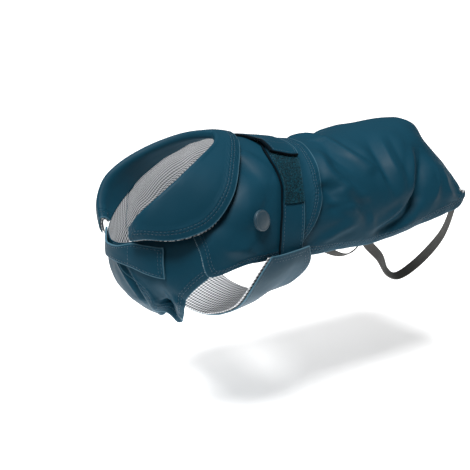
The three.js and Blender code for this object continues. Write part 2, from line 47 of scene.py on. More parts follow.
# Lengths are in millimetres here, and points are turned to metres at the end.
# s runs from the neck ring (0) to the rear edge, a is the angle from the top
# of the back in degrees, and the left side has angles below 0.
CLOTH = 1.3                       # wall of a solid's cloth layer
GAP = 0.5                         # between two layers that lie on each other
SEAM = 0.5                        # between two pieces sewn edge to edge
YOKE = CLOTH + GAP                # inner face of the cape and chest pieces
TRIM = YOKE + CLOTH + 0.75        # inner face of the belts
TOP = TRIM + CLOTH + 0.6          # inner face of what lies on a belt
STRAP_WALL = 1.8                  # wall of the back strap and the neck tab
LOOP_WALL = 0.75                  # wall of the hook-and-loop tape
LINING_WALL = 1.0                 # wall of the belly band's lining
NECK_RUN = 120                    # mm for each unit of s by the neck
S_END = 2.2
BODY_NAME = "root"


def table(columns, rows):
    """A short table as one array for each named column."""
    return dict(zip(columns.split(), np.array(rows, float).T))


# Slices through the trunk, from top point to bottom point.
SLICES = table("s topX topZ botX botZ half mid up down", [
    (0.00, -88, 8, -193, -66, 46, 0.50, 2.0, 2.0),
    (0.12, -74, 6.5, -191, -85, 58.5, 0.50, 2.1, 2.0),
    (0.24, -62, 4.5, -186, -104, 69.5, 0.50, 2.2, 2.1),
    (0.36, -51, 2, -175, -122, 75.5, 0.50, 2.2, 2.1),
    (0.50, -38, 0, -148, -137, 78, 0.50, 2.2, 2.2),
    (0.75, -15, -2.5, -75, -127, 78, 0.50, 2.2, 2.3),
    (1.00, 5, -3, 0, -124, 78, 0.48, 2.2, 2.3),
    (1.30, 50, 1.5, 50, -124, 78, 0.48, 2.2, 2.2),
    (1.70, 98, 9, 100, -118, 77, 0.52, 1.95, 2.2),
    (2.00, 119, 9.5, 134, -114, 74, 0.56, 1.45, 2.2),
    (2.20, 128, 7, 170, -110, 70, 0.58, 1.1, 2.2),
])
HEM = table("s rear", [
    (0.50, 94), (0.75, 104.5), (0.92, 110), (1.12, 114.5), (1.36, 112.5),
    (1.65, 107), (1.90, 101), (2.05, 98), (2.13, 91), (2.20, 76),
])
REAR_EDGE = table("a s", [
    (0, 2.20), (45, 2.20), (55, 2.17), (63, 2.145), (70, 2.16), (76, 2.20),
])
CAPE_REAR = table("a s", [
    (0, 0.80), (13, 0.775), (25, 0.748), (38, 0.732), (50, 0.728),
    (60, 0.733), (70, 0.732), (82, 0.723), (92, 0.69), (100, 0.67),
])
CAPE_SIDE = table("s a", [
    (0.00, 108), (0.14, 110), (0.22, 112), (0.34, 117.5), (0.37, 114.5),
    (0.42, 104), (0.46, 99.5), (0.52, 98), (0.72, 96),
])
CHEST_END = table("a s", [
    (110, 0.345), (116, 0.35), (122, 0.35), (130, 0.355), (138, 0.375),
    (145, 0.42), (152, 0.454), (158, 0.481), (161, 0.474), (169, 0.445),
    (180, 0.435), (216, 0.41),
])
# The free edge of the left chest piece, and how far the right one runs under it.
LAP = table("s a", [
    (0.00, 177), (0.13, 170.5), (0.215, 162.5), (0.30, 159), (0.38, 158.5),
    (0.50, 160.5),
])
LAP_UNDER = 216
LAP_RISE = CLOTH + GAP + 0.7
SEAM_END = 0.335                  # s where the seam of cape and chest ends
SEAM_TURN = 0.08                  # degrees between the two there
BELT = table("a front rear", [
    (15, 0.25, 0.54), (28, 0.235, 0.565), (40, 0.28, 0.56),
    (52, 0.355, 0.565), (66, 0.425, 0.60), (80, 0.494, 0.64),
    (95, 0.575, 0.69),
])
STRAP = table("a front rear lift", [
    (-32, 0.265, 0.55, 7.4), (-24, 0.235, 0.55, 7.4), (-14, 0.21, 0.54, 6.8),
    (0, 0.185, 0.51, 5.4), (18, 0.18, 0.48, 5.9), (36, 0.235, 0.48, 5.9),
    (52, 0.345, 0.545, 5.9),
])
BAND = table("a front rear lift flare", [
    (-94, 0.515, 0.71, 5.9, 0.4), (-104, 0.51, 0.755, 5.2, 3),
    (-116, 0.525, 0.775, 4.0, 4.5), (-131, 0.555, 0.775, 2.2, 5),
    (-150, 0.575, 0.765, 0.8, 3.5), (-180, 0.58, 0.76, 0.5, 2),
    (-210, 0.56, 0.76, 0.8, 2.5), (-229, 0.52, 0.76, 2.2, 3),
    (-244, 0.485, 0.765, 4.0, 2.5), (-256, 0.48, 0.755, 5.2, 1.5),
    (-266, 0.475, 0.70, 5.9, 0.4),
])
TAB = table("k s0 a0 s1 a1", [
    (0, 0.100, -129, 0.230, -137), (1, 0.045, -141, 0.178, -148),
    (2, 0.010, -152, 0.128, -158), (3, 0.008, -166, 0.098, -170),
    (4, 0.008, -181, 0.090, -184), (5, 0.008, -196, 0.095, -199),
    (6, 0.010, -212, 0.110, -214),
])
COLLAR = table("turn foldR foldUp edgeR edgeUp", [
    (0, 64, 7.5, 77, -4.5), (25, 57, 12.5, 70.8, -3),
    (50, 48.5, 18, 69.3, -4), (75, 46, 21.5, 70.2, -11.5),
    (97, 48.5, 23.5, 70.5, -15.5), (112, 52, 24, 71.5, -11),
    (124, 56, 23.5, 71.5, -4.5), (138, 60, 20.5, 70, 4.5),
    (151, 62, 13, 68.5, 6),
])
RIGHT_DROP = 12                   # the collar's right corner hangs lower
COLLAR_TURN = 151                 # degrees to each side that the collar reaches
# The largest folds, which the solids have too.
FOLDS = table("s0 a0 s1 a1 wide high", [
    (1.09, -6, 1.16, -50, 8, 2.2), (0.84, -30, 1.03, -72, 8, 2.4),
    (0.90, -66, 0.99, -86, 6, 1.8), (1.50, -24, 1.38, -76, 14, 2.6),
    (1.68, -50, 1.52, -84, 13, -4.2), (1.52, -84, 1.20, -101, 11, -3.4),
    (1.98, -62, 1.93, -84, 9, 2.6), (0.82, -60, 0.90, -74, 8, -2.4),
    (1.12, 8, 1.18, 52, 9, 2.0), (0.86, 34, 1.05, 76, 9, 2.2),
    (1.46, 26, 1.42, 78, 14, 2.4), (1.70, 52, 1.50, 86, 13, -3.8),
    (1.50, 86, 1.22, 100, 11, -3.0), (1.96, 60, 1.94, 84, 9, 2.2),
    (0.08, -41, 0.28, -57, 8, 2.2), (0.10, 42, 0.27, 56, 8, 2.0),
    (0.21, -68, 0.225, -92, 15, 3.4), (0.21, 68, 0.225, 92, 15, 3.4),
    (0.38, -142, 0.50, -159, 5, 3.2), (0.38, -156, 0.47, -163, 6, 2.2),
])
PINCH = dict(s0=0.34, a0=-146.5, s1=0.425, a1=-155, wide=6.4, high=-6.5)
# The finer creases of the cloth: start, a place on the way, end, half width
# in mm and height (below 0 for a trough).
CREASES = table("s0 a0 s1 a1 s2 a2 wide high", [
    (1.14, 2, 1.09, -24, 1.19, -52, 4.0, 1.7),
    (1.20, -4, 1.16, -30, 1.25, -54, 4.0, -1.6),
    (1.02, 2, 1.07, -5, 1.13, -12, 3.0, 1.4),
    (1.03, -16, 0.99, -34, 1.05, -54, 5.0, -1.8),
    (0.86, -22, 0.86, -50, 1.05, -76, 4.0, 1.9),
    (0.93, -32, 0.94, -50, 1.08, -70, 4.0, -1.6),
    (0.88, -60, 0.93, -73, 0.99, -88, 3.4, 2.0),
    (0.80, -70, 0.88, -80, 0.96, -88, 3.4, -1.4),
    (0.73, -52, 0.80, -62, 0.89, -74, 4.4, -2.4),
    (0.98, -70, 1.05, -82, 1.12, -94, 4.4, -1.7),
    (1.03, -76, 1.10, -88, 1.12, -98, 3.2, 1.2),
    (0.82, -100, 0.90, -93, 1.02, -92, 3.2, 1.6),
    (1.46, -18, 1.35, -48, 1.40, -80, 5.5, 1.5),
    (1.52, -20, 1.43, -48, 1.47, -72, 5.0, -1.0),
    (1.34, -20, 1.26, -46, 1.28, -74, 5.5, -1.9),
    (1.24, -50, 1.22, -66, 1.28, -84, 4.0, 1.2),
    (1.76, -42, 1.57, -73, 1.46, -94, 6.0, -3.4),
    (1.50, -84, 1.38, -97, 1.16, -103, 5.0, -3.0),
    (1.66, -38, 1.49, -62, 1.43, -86, 3.6, 1.6),
    (1.40, -84, 1.26, -93, 1.08, -99, 3.4, 1.5),
    (1.96, -58, 1.90, -76, 1.99, -86, 4.0, 2.3),
    (1.84, -54, 1.78, -76, 1.64, -95, 4.2, 1.8),
    (1.15, 1, 1.11, 26, 1.19, 50, 5.0, 1.8),
    (1.22, 10, 1.18, 30, 1.24, 52, 5.5, -1.4),
    (0.86, 28, 0.88, 50, 1.04, 74, 4.6, 1.9),
    (0.94, 36, 0.96, 52, 1.07, 68, 4.6, -1.2),
    (0.92, 64, 0.95, 75, 0.98, 86, 4.0, 1.5),
    (1.02, 20, 1.00, 36, 1.05, 50, 6.0, -1.4),
    (1.44, 24, 1.37, 52, 1.43, 78, 7.0, 1.8),
    (1.34, 26, 1.28, 50, 1.31, 74, 6.5, -1.5),
    (1.73, 48, 1.56, 75, 1.45, 94, 8.0, -2.5),
    (1.94, 58, 1.91, 74, 1.95, 86, 5.0, 1.8),
    (1.82, 58, 1.75, 78, 1.64, 93, 5.5, 1.2),
    (0.07, -30, 0.20, -44, 0.42, -62, 3.2, 1.0),
    (0.06, -40, 0.18, -54, 0.36, -78, 4.0, -1.2),
    (0.10, -54, 0.20, -68, 0.30, -88, 3.6, 0.8),
    (0.10, 30, 0.23, 45, 0.40, 66, 4.5, 1.2),
    (0.07, 42, 0.19, 55, 0.32, 72, 5.0, -1.4),
    (0.11, 54, 0.20, 67, 0.26, 86, 6.5, 1.0),
    (0.27, -103, 0.36, -96, 0.50, -94, 3.8, 1.8),
    (0.20, -96, 0.32, -87, 0.45, -86, 5.0, -1.4),
    (0.27, 103, 0.36, 96, 0.49, 94, 3.8, 1.6),
    (0.22, 97, 0.33, 88, 0.44, 87, 5.0, -1.3),
    (0.350, -149, 0.40, -154, 0.470, -161, 2.8, -9.0),
    (0.33, -143, 0.38, -143, 0.46, -153, 2.4, 1.6),
    (0.04, 172.5, 0.22, -167.5, 0.36, -169, 2.2, 2.0),
    (0.06, -176, 0.20, -163, 0.36, -161, 1.8, -1.8),
    (0.55, -110, 0.62, -128, 0.64, -148, 4.5, 1.0),
    (0.66, -100, 0.71, -118, 0.69, -140, 4.0, -1.0),
    (0.14, 150, 0.26, 160, 0.40, 160, 6.0, 1.2),
])
# A hind-leg elastic's free run, on the left side. roll turns the band's flat.
ELASTIC = table("t x y z roll", [
    (1, 47, -62, -106, 6), (2, 70, -50, -129, 34), (3, 94, -41, -139, 62),
    (4, 118, -43, -128, 40), (5, 134, -55, -102, 12),
])
ELASTIC_FROM, ELASTIC_TO = 1.13, 2.03


def smooth(x, start, end):
    t = np.clip((x - start) / (end - start), 0, 1)
    return t * t * (3 - 2 * t)


def mix(x, y, t):
    return x + (y - x) * t


def wrap(a):
    return a - 360 * np.round(a / 360)


def read(rows, key, column, at):
    """A smooth curve through one column of a table."""
    sign = -1 if rows[key][-1] < rows[key][0] else 1
    x, y = rows[key] * sign, rows[column]
    at = np.clip(np.asarray(at, float) * sign, x[0], x[-1])
    i = np.clip(np.searchsorted(x, at, side="right") - 1, 0, len(x) - 2)
    slope = np.empty_like(y)
    slope[1:-1] = (y[2:] - y[:-2]) / (x[2:] - x[:-2])
    slope[0] = (y[1] - y[0]) / (x[1] - x[0])
    slope[-1] = (y[-1] - y[-2]) / (x[-1] - x[-2])
    h = x[i + 1] - x[i]
    u = (at - x[i]) / h
    return ((2 * u**3 - 3 * u**2 + 1) * y[i] + (u**3 - 2 * u**2 + u) * slope[i] * h
            + (3 * u**2 - 2 * u**3) * y[i + 1] + (u**3 - u**2) * slope[i + 1] * h)


def unit(v):
    return v / np.maximum(np.linalg.norm(v, axis=-1, keepdims=True), 1e-9)


def form(s, a):
    """A point of the plain body form."""
    s, a = np.broadcast_arrays(np.asarray(s, float), np.asarray(a, float))
    c, y = np.cos(np.radians(a)), np.sin(np.radians(a))
    mid, half = read(SLICES, "s", "mid", s), read(SLICES, "s", "half", s)
    flank = smooth(np.abs(y), 0, 0.6)
    roundness = np.where(c >= 0, mix(2, read(SLICES, "s", "up", s), flank),
                         read(SLICES, "s", "down", s))
    out, along = np.abs(y) ** (2 / roundness), np.abs(c) ** (2 / roundness)
    share = np.where(c >= 0, mid * (1 - along), mid + (1 - mid) * along)
    return np.stack([
        mix(read(SLICES, "s", "topX", s), read(SLICES, "s", "botX", s), share),
        np.sign(y) * half * out,
        mix(read(SLICES, "s", "topZ", s), read(SLICES, "s", "botZ", s), share),
    ], -1)


def normal_of(surface, s, a):
    ds, da = 0.004, 0.4
    along_s = surface(np.minimum(S_END, s + ds), a) - surface(np.maximum(0, s - ds), a)
    along_a = surface(s, a + da) - surface(s, a - da)
    return -unit(np.cross(along_a, along_s))


PER_ANGLE = 1.35                  # mm for each degree round the trunk


def fold_height(fold, s, a):
    per_s = np.maximum(60, (read(SLICES, "s", "topX", s + 0.05)
                            - read(SLICES, "s", "topX", s - 0.05)) / 0.1)
    line_x = (fold["s1"] - fold["s0"]) * per_s
    line_y = (fold["a1"] - fold["a0"]) * PER_ANGLE
    x, y = (s - fold["s0"]) * per_s, (a - fold["a0"]) * PER_ANGLE
    near = np.clip((x * line_x + y * line_y) / (line_x**2 + line_y**2), 0, 1)
    away = np.hypot(x - line_x * near, y - line_y * near)
    return fold["high"] * np.exp(-(away / fold["wide"]) ** 2)


def rows_of(columns):
    """The rows of a table as dictionaries."""
    return [dict(zip(columns, row)) for row in zip(*columns.values())]


def relief(s, a):
    """What moves the cloth off the plain form in the solids, in mm."""
    angle = wrap(a)
    total = sum(fold_height(fold, s, angle) for fold in rows_of(FOLDS))
    hem = read(HEM, "s", "rear", s)
    tuck = smooth(np.abs(angle), hem - 12, hem + 3)
    return total - 3.5 * tuck * smooth(s, 0.80, 0.95) * (1 - smooth(s, 1.5, 1.9))


def folded(s, a):
    return form(s, a) + normal_of(form, s, a) * relief(s, a)[..., None]


def back_run(s):
    """Where a slice lies along the back, in mm, as a ruler for creases."""
    return read(SLICES, "s", "topX", np.clip(s, 0, S_END)) + 60 * np.maximum(0, 0.30 - s)


def crease_height(s, a):
    """The finer creases: a ridge or trough along a bent line, fading at its ends."""
    x, y = back_run(s), wrap(a) * PER_ANGLE
    total = np.zeros(np.broadcast(x, y).shape)
    t = np.linspace(0, 1, 11)
    for row in rows_of(CREASES):
        turn = [row["a0"], row["a0"] + wrap(row["a1"] - row["a0"])]
        turn.append(turn[1] + wrap(row["a2"] - turn[1]))
        knots = [(back_run(row[f"s{k}"]), turn[k] * PER_ANGLE) for k in range(3)]
        px, py = [(2 * (t - 0.5) * (t - 1) * p0 - 4 * t * (t - 1) * p1 + 2 * t * (t - 0.5) * p2)
                  for p0, p1, p2 in zip(*knots)]
        best = np.full(total.shape, 1e9)
        where = np.zeros(total.shape)
        # The same place round the trunk, counted from the crease's own middle.
        own_y = (wrap(y / PER_ANGLE - turn[1]) + turn[1]) * PER_ANGLE
        for k in range(len(t) - 1):
            dx, dy = px[k + 1] - px[k], py[k + 1] - py[k]
            near = np.clip(((x - px[k]) * dx + (own_y - py[k]) * dy) / (dx * dx + dy * dy), 0, 1)
            away = np.hypot(x - px[k] - dx * near, own_y - py[k] - dy * near)
            closer = away < best
            where = np.where(closer, (k + near) / (len(t) - 1), where)
            best = np.where(closer, away, best)
        fade = smooth(where, 0, 0.3) * (1 - smooth(where, 0.65, 1)) + 0.15
        wide = row["wide"]
        shape = np.exp(-(best / wide) ** 1.35) - 0.28 * np.exp(-((best - 2 * wide) / wide) ** 2)
        total += row["high"] * fade * shape
    return total


def skin(s, a, height, creased=True):
    """Points of the cloth at a height off the wearer, and the way out of it."""
    s, a = np.broadcast_arrays(np.asarray(s, float), np.asarray(a, float))
    out = normal_of(folded, s, a)
    lift = np.asarray(height) + fold_height(PINCH, s, wrap(a))
    if creased:
        lift = lift + crease_height(s, a)
    return folded(s, a) + out * np.broadcast_to(lift, s.shape)[..., None], out


def cape_stand(s, a):
    """How far the cape's free rear edge stands off the body."""
    angle = np.abs(wrap(a))
    edge = read(CAPE_REAR, "a", "s", angle)
    wave = 0.7 + 0.3 * np.cos(np.radians(wrap(a) * 2.3 + 20))
    return 1.8 * smooth(s, edge - 0.16, edge) * wave * (1 - smooth(angle, 102, 118))


def over(s, a, height, creased=True):
    """Points of the cape, or of what lies on it."""
    return skin(s, a, height + cape_stand(s, a), creased)


def strip(rows, u, v, inset=0.0, short=0.0):
    """A place (s, a) on a strip, from the table of its front and rear edges."""
    a = mix(rows["a"][0] - short, rows["a"][-1] + short, v)
    return mix(read(rows, "a", "front", a) + inset, read(rows, "a", "rear", a) - inset, u), a


HOLD = skin(0.94, 0, 0, creased=False)[0]


def to_frame(points):
    return (points - HOLD) / 1000


def curve_through(knots, w):
    """Points at w (0 to 1) on a centripetal curve through knots, one set of knots for each w."""
    count = len(knots)
    place = np.clip(w, 0, 1) * (count - 1)
    i = np.clip(np.floor(place).astype(int), 0, count - 2)
    t = (place - i)[..., None]
    ends = np.concatenate([[2 * knots[0] - knots[1]], knots, [2 * knots[-1] - knots[-2]]])
    pick = np.arange(len(w)) if knots.ndim == 3 else None
    p0, p1, p2, p3 = [ends[i + k, pick] if pick is not None else ends[i + k] for k in range(4)]
    d0, d1, d2 = [np.maximum(np.linalg.norm(q - p, axis=-1, keepdims=True) ** 0.5, 1e-4)
                  for p, q in ((p0, p1), (p1, p2), (p2, p3))]
    m1 = ((p1 - p0) / d0 - (p2 - p0) / (d0 + d1) + (p2 - p1) / d1) * d1
    m2 = ((p2 - p1) / d1 - (p3 - p1) / (d1 + d2) + (p3 - p2) / d2) * d1
    return (p1 + m1 * t + (3 * (p2 - p1) - 2 * m1 - m2) * t**2
            + (2 * (p1 - p2) + m1 + m2) * t**3)


def length(name, about, default, low, high):
    return bpy.props.FloatProperty(name=name, description=f"{about}, in millimetres",
                                   default=default, min=low, max=high)


def colour(name, about, default):
    return bpy.props.StringProperty(name=name, description=f"{about}, sRGB hex", default=default)


# Settings that a user would change.
class RaincoatSizes(bpy.types.PropertyGroup):
    """Sizes of the coat's finer parts."""

    cloth_mm: length("Cloth", "Thickness of one layer of cloth", 0.7, 0.3, 1.2)
    hem_mm: length("Hem", "Thickness at the hems", 1.15, 0.5, 1.3)
    stitch_mm: length("Stitch", "Length of one stitch", 2.3, 1.5, 5)
    thread_mm: length("Thread", "Width of the sewing thread", 0.5, 0.2, 1)
    check_mm: length("Check", "One repeat of the gingham", 3.4, 1, 8)


class RaincoatColours(bpy.types.PropertyGroup):
    """Colours of the coat, as sRGB hex."""

    shell: colour("Shell", "Coated cloth", "0d3849")
    # Painted highlight for the folded edges, where they catch the light.
    edge_highlight: colour("Highlighted edge", "Folded edges of the cloth", "5f8799")
    # Painted shade, near black, for the shadow in the gap under a belt's or the strap's edge.
    gap_shade: colour("Shadow", "Shaded edges", "020d15")
    check_light: colour("Check, light", "Light yarn of the gingham", "e6e8ea")
    check_dark: colour("Check, dark", "Dark yarn of the gingham", "141f2c")
    loop: colour("Loop tape", "Loop pile", "074150")
    snap: colour("Snap", "Painted snap cap", "263f4c")
    elastic: colour("Elastic", "Woven elastic", "4a4a48")
    thread: colour("Thread", "Sewing thread", "1a4257")


def sizes():
    return bpy.context.scene.raincoat_sizes


def colours():
    return bpy.context.scene.raincoat_colours


def linear(hex_colour, factor=1):
    """An sRGB hex colour as linear values, made darker or lighter by a factor."""
    parts = [int(hex_colour[k:k + 2], 16) / 255 for k in (0, 2, 4)]
    parts = [v / 12.92 if v <= 0.04045 else ((v + 0.055) / 1.055) ** 2.4 for v in parts]
    return [min(1, v * factor) for v in parts] + [1]


def set_inputs(tree, node, values):
    """Links or sets a node's inputs, by name or by number (_0)."""
    for name, value in values.items():
        number = name[1:]
        socket = node.inputs[int(number) if number.isdigit() else name.replace("_", " ")]
        if isinstance(value, bpy.types.NodeSocket):
            tree.links.new(value, socket)
        else:
            socket.default_value = value


def add_node(tree, kind, settings=None, **values):
    """Adds a node with its settings and inputs."""
    node = tree.nodes.new(kind)
    for name, value in (settings or {}).items():
        setattr(node, name, value)
    set_inputs(tree, node, values)
    return node


def object_place(tree):
    return add_node(tree, "ShaderNodeTexCoord").outputs["Object"]


def cloth_place(tree):
    """A place on the flat cloth, in metres."""
    return add_node(tree, "ShaderNodeUVMap", {"uv_map": "UVMap"}).outputs["UV"]


def attribute(tree, name):
    return add_node(tree, "ShaderNodeAttribute", {"attribute_name": name}).outputs["Fac"]


def noise(tree, place, scale, detail, roughness=0.5):
    return add_node(tree, "ShaderNodeTexNoise", None, Vector=place, Scale=scale, Detail=detail,
                    Roughness=roughness).outputs["Fac"]


def maths(tree, operation, *values):
    numbered = {f"_{k}": value for k, value in enumerate(values)}
    return add_node(tree, "ShaderNodeMath", {"operation": operation}, **numbered).outputs[0]


def remap(tree, value, low, high, to_low=0.0, to_high=1.0, curve="LINEAR"):
    return add_node(tree, "ShaderNodeMapRange", {"interpolation_type": curve}, Value=value,
                    From_Min=low, From_Max=high, To_Min=to_low, To_Max=to_high).outputs["Result"]


def blend(tree, share, first, second):
    return add_node(tree, "ShaderNodeMix", {"data_type": "RGBA"}, _0=share, _6=first,
                    _7=second).outputs[2]


def ramp_of(tree, value, stops):
    """A colour ramp used as a height curve: stops are (place, height)."""
    node = add_node(tree, "ShaderNodeValToRGB", None, _0=value)
    elements = node.color_ramp.elements
    while len(elements) > 1:
        elements.remove(elements[-1])
    for k, (place, height) in enumerate(stops):
        element = elements[0] if k == 0 else elements.new(place)
        element.position = place
        element.color = (height, height, height, 1)
    return node.outputs["Color"]


def new_material(name):
    """The material of a name. Its tree and shader come only when it is new."""
    material = bpy.data.materials.get(name)
    if material:
        return material, None, None
    material = bpy.data.materials.new(name)
    material.use_nodes = True
    return material, material.node_tree, material.node_tree.nodes["Principled BSDF"]


def finish_material(tree, shader, base, bumps=(), **values):
    """Links the colour and the bumps (height, distance in metres, strength), and sets the rest."""
    tree.links.new(base, shader.inputs["Base Color"])
    below = None
    for height, distance, strength in bumps:
        bump = add_node(tree, "ShaderNodeBump", None, Height=height, Distance=distance,
                        Strength=strength)
        if below:
            tree.links.new(below, bump.inputs["Normal"])
        below = bump.outputs["Normal"]
    if below:
        tree.links.new(below, shader.inputs["Normal"])
    set_inputs(tree, shader, values)


SEAM_REACH = 14.0                 # mm from an edge that the seam's relief covers
ROWS_MM = (5.4, 8.0)              # the two rows of stitching, from the edge
TRIM_ROW_MM = 2.4                 # where a narrow piece is drawn in, from the edge
ROW_HALF_MM = 0.9                 # half the width of the dip along a row
CLOTH_GLOSS = {"panel": 0.15, "trim": 0.15, "band": 0.4}


def coated_cloth(kind="panel"):
    """Polyester cloth with a polyurethane coat: satin, smooth to the touch, with broad
    soft lights on its folds, and drawn in along each row of stitching. Trim and band are
    the same cloth on narrow pieces, drawn in once near the edge, and the band's is the
    glossiest."""
    material, tree, shader = new_material(f"coated_{kind}_cloth")
    if tree is None:
        return material
    trim = kind != "panel"
    place = object_place(tree)
    edge, run, gap_shade_mask = [attribute(tree, name) for name in ("edge_mm", "run_mm", "gap_shade_mask")]
    # Slow drifts of the dye, over 3 to 5 cm.
    base = blend(tree, noise(tree, place, 26, 3), linear(colours().shell),
                 linear(colours().shell, 1.14))
    # A painted highlight makes the fold at a hem pale, where it catches the light.
    base = blend(tree, remap(tree, edge, 0.3, 1.1, 0.45, 0), base, linear(colours().edge_highlight))
    # Painted shade: a near-black strip along an edge, where the shadow of the gap under it falls.
    base = blend(tree, gap_shade_mask, base, linear(colours().gap_shade))
    # The coat's own unevenness, about 6 mm across.
    rough = remap(tree, noise(tree, place, 160, 4), 0, 1, 0.50, 0.60)
    # Soft crumple of 10 to 25 mm, then threads, drawn at 1.1 mm so that they show.
    crumple = noise(tree, place, 62, 2.5, 0.45)
    threads = noise(tree, place, 900, 2)
    # Stitch rows draw the cloth in, and the hem's fold ends in a low step.
    reach = maths(tree, "DIVIDE", edge, SEAM_REACH)
    first, second = [row / SEAM_REACH for row in ROWS_MM]
    half = ROW_HALF_MM / SEAM_REACH
    stops = [(0.0, 0.62), (0.05, 0.86), (first - half, 0.86), (first, 0.28), (first + half, 0.86),
             (second - half, 0.84), (second, 0.26), (second + half, 0.80), (0.70, 0.74), (0.78, 0.5)]
    if trim:
        first = second = TRIM_ROW_MM / SEAM_REACH
        stops = [(0.0, 0.5), (0.05, 0.8), (first - half, 0.8), (first, 0.45), (first + half, 0.8)]
    seam = ramp_of(tree, reach, stops)
    # The cloth puckers between the stitches, most of all near the rows.
    along = add_node(tree, "ShaderNodeCombineXYZ", None, X=run, Y=edge)
    stretched = add_node(tree, "ShaderNodeVectorMath", {"operation": "MULTIPLY"},
                         _0=along.outputs[0], _1=(0.34, 0.11, 1.0))
    fade = (second + 0.12, 0.0) if trim else (0.95, 0.0)
    near_rows = ramp_of(tree, reach, [(0.0, 0.25), (first, 1.0), (second + 0.01, 1.0), fade])
    pucker = maths(tree, "MULTIPLY", noise(tree, stretched.outputs[0], 1, 1.5), near_rows)
    finish_material(
        tree, shader, base,
        [(crumple, 0.0011, 0.5), (threads, 0.0001, 0.3), (seam, 0.0006, 0.8),
         (pucker, 0.0006 if trim else 0.0012, 0.8)],
        Roughness=rough, IOR=1.38, Specular_IOR_Level=CLOTH_GLOSS[kind], Coat_Weight=0.02,
        Coat_Roughness=0.28)
    return material


def gingham():
    """Woven cotton check: matt, with light and dark yarns that cross at half tone."""
    material, tree, shader = new_material("woven_gingham_check")
    if tree is None:
        return material
    place = cloth_place(tree)
    scaled = add_node(tree, "ShaderNodeVectorMath", {"operation": "SCALE"}, _0=place,
                      Scale=1000 / sizes().check_mm)
    parts = add_node(tree, "ShaderNodeSeparateXYZ", None, _0=scaled.outputs[0])
    stripes = [remap(tree, maths(tree, "PINGPONG", parts.outputs[axis], 0.5), 0.22, 0.28, 0, 0.5,
                     "SMOOTHSTEP") for axis in ("X", "Y")]
    base = blend(tree, maths(tree, "ADD", *stripes), linear(colours().check_light),
                 linear(colours().check_dark))
    # Yarns of 0.4 mm, as fine grain in the light.
    finish_material(tree, shader, base, [(noise(tree, place, 2600, 1), 0.00012, 0.6)],
                    Roughness=0.88, Sheen_Weight=0.15)
    return material


def loop_pile():
    """Brushed nylon loops: deep colour, with painted shade deep in the pile and a painted highlight
    on the loops' tips.
    """
    material, tree, shader = new_material("loop_pile_tape")
    if tree is None:
        return material
    # Clumps of loops about 1.2 mm across, which is coarser than single loops so that they show.
    clump = noise(tree, object_place(tree), 820, 4, 0.7)
    # The clumps' colour is painted: painted shade deep in the pile, painted highlight on the loops'
    # tips.
    base = blend(tree, remap(tree, clump, 0.36, 0.66), linear(colours().loop, 0.1),
                 linear(colours().loop, 1.25))
    finish_material(tree, shader, base, [(clump, 0.0009, 0.9)], Roughness=0.9,
                    Specular_IOR_Level=0.1, Sheen_Weight=0.05)
    return material


def painted_snap():
    """Stamped brass with a baked satin paint: fine orange peel, a soft light on the rim."""
    material, tree, shader = new_material("painted_snap_cap")
    if tree is None:
        return material
    place = object_place(tree)
    base = blend(tree, noise(tree, place, 180, 4), linear(colours().snap, 0.85),
                 linear(colours().snap, 1.2))
    finish_material(tree, shader, base, [(noise(tree, place, 700, 2), 0.00012, 0.5)],
                    Roughness=0.42, Coat_Weight=0.12, Coat_Roughness=0.3)
    return material


def woven_elastic():
    """Braided elastic: matt ribs along the band, with fine cross threads."""
    material, tree, shader = new_material("woven_elastic")
    if tree is None:
        return material
    parts = add_node(tree, "ShaderNodeSeparateXYZ", None, _0=cloth_place(tree))
    # Ribs 1.1 mm apart across the band, and threads 0.8 mm apart along it.
    ribs, cross = [maths(tree, "SINE", maths(tree, "MULTIPLY", parts.outputs[axis], 6.2832 / step))
                   for axis, step in (("X", 0.0011), ("Y", 0.0008))]
    shade = remap(tree, maths(tree, "MULTIPLY_ADD", cross, 0.5, ribs), -1.5, 1.5)
    # Painted shade in the grooves between ribs and threads, and painted light on their crests.
    base = blend(tree, shade, linear(colours().elastic, 0.6), linear(colours().elastic, 1.35))
    finish_material(tree, shader, base, [(shade, 0.0003, 0.8)], Roughness=0.9)
    return material


def sewing_thread():
    """Spun polyester thread: a soft sheen, a little lighter than the cloth."""
    material, tree, shader = new_material("sewing_thread")
    if tree is None:
        return material
    base = blend(tree, noise(tree, object_place(tree), 1500, 1), linear(colours().thread, 0.7),
                 linear(colours().thread, 1.25))
    finish_material(tree, shader, base, Roughness=0.6, Sheen_Weight=0.2)
    return material


def nothing_selected():
    if bpy.context.mode != "OBJECT":
        bpy.ops.object.mode_set(mode="OBJECT")
    bpy.ops.object.select_all(action="DESELECT")


def only(obj):
    nothing_selected()
    obj.select_set(True)
    bpy.context.view_layer.objects.active = obj


def apply_modifier(obj, kind, **settings):
    only(obj)
    modifier = obj.modifiers.new(kind.title(), kind)
    for name, value in settings.items():
        setattr(modifier, name, value)
    bpy.ops.object.modifier_apply(modifier=modifier.name)


def run_lengths(points, axis):
    """Length run so far along one way of a grid of points."""
    steps = np.linalg.norm(np.diff(points, axis=axis), axis=-1)
    zero = np.zeros_like(np.take(steps, [0], axis=axis))
    return np.concatenate([zero, np.cumsum(steps, axis=axis)], axis=axis)


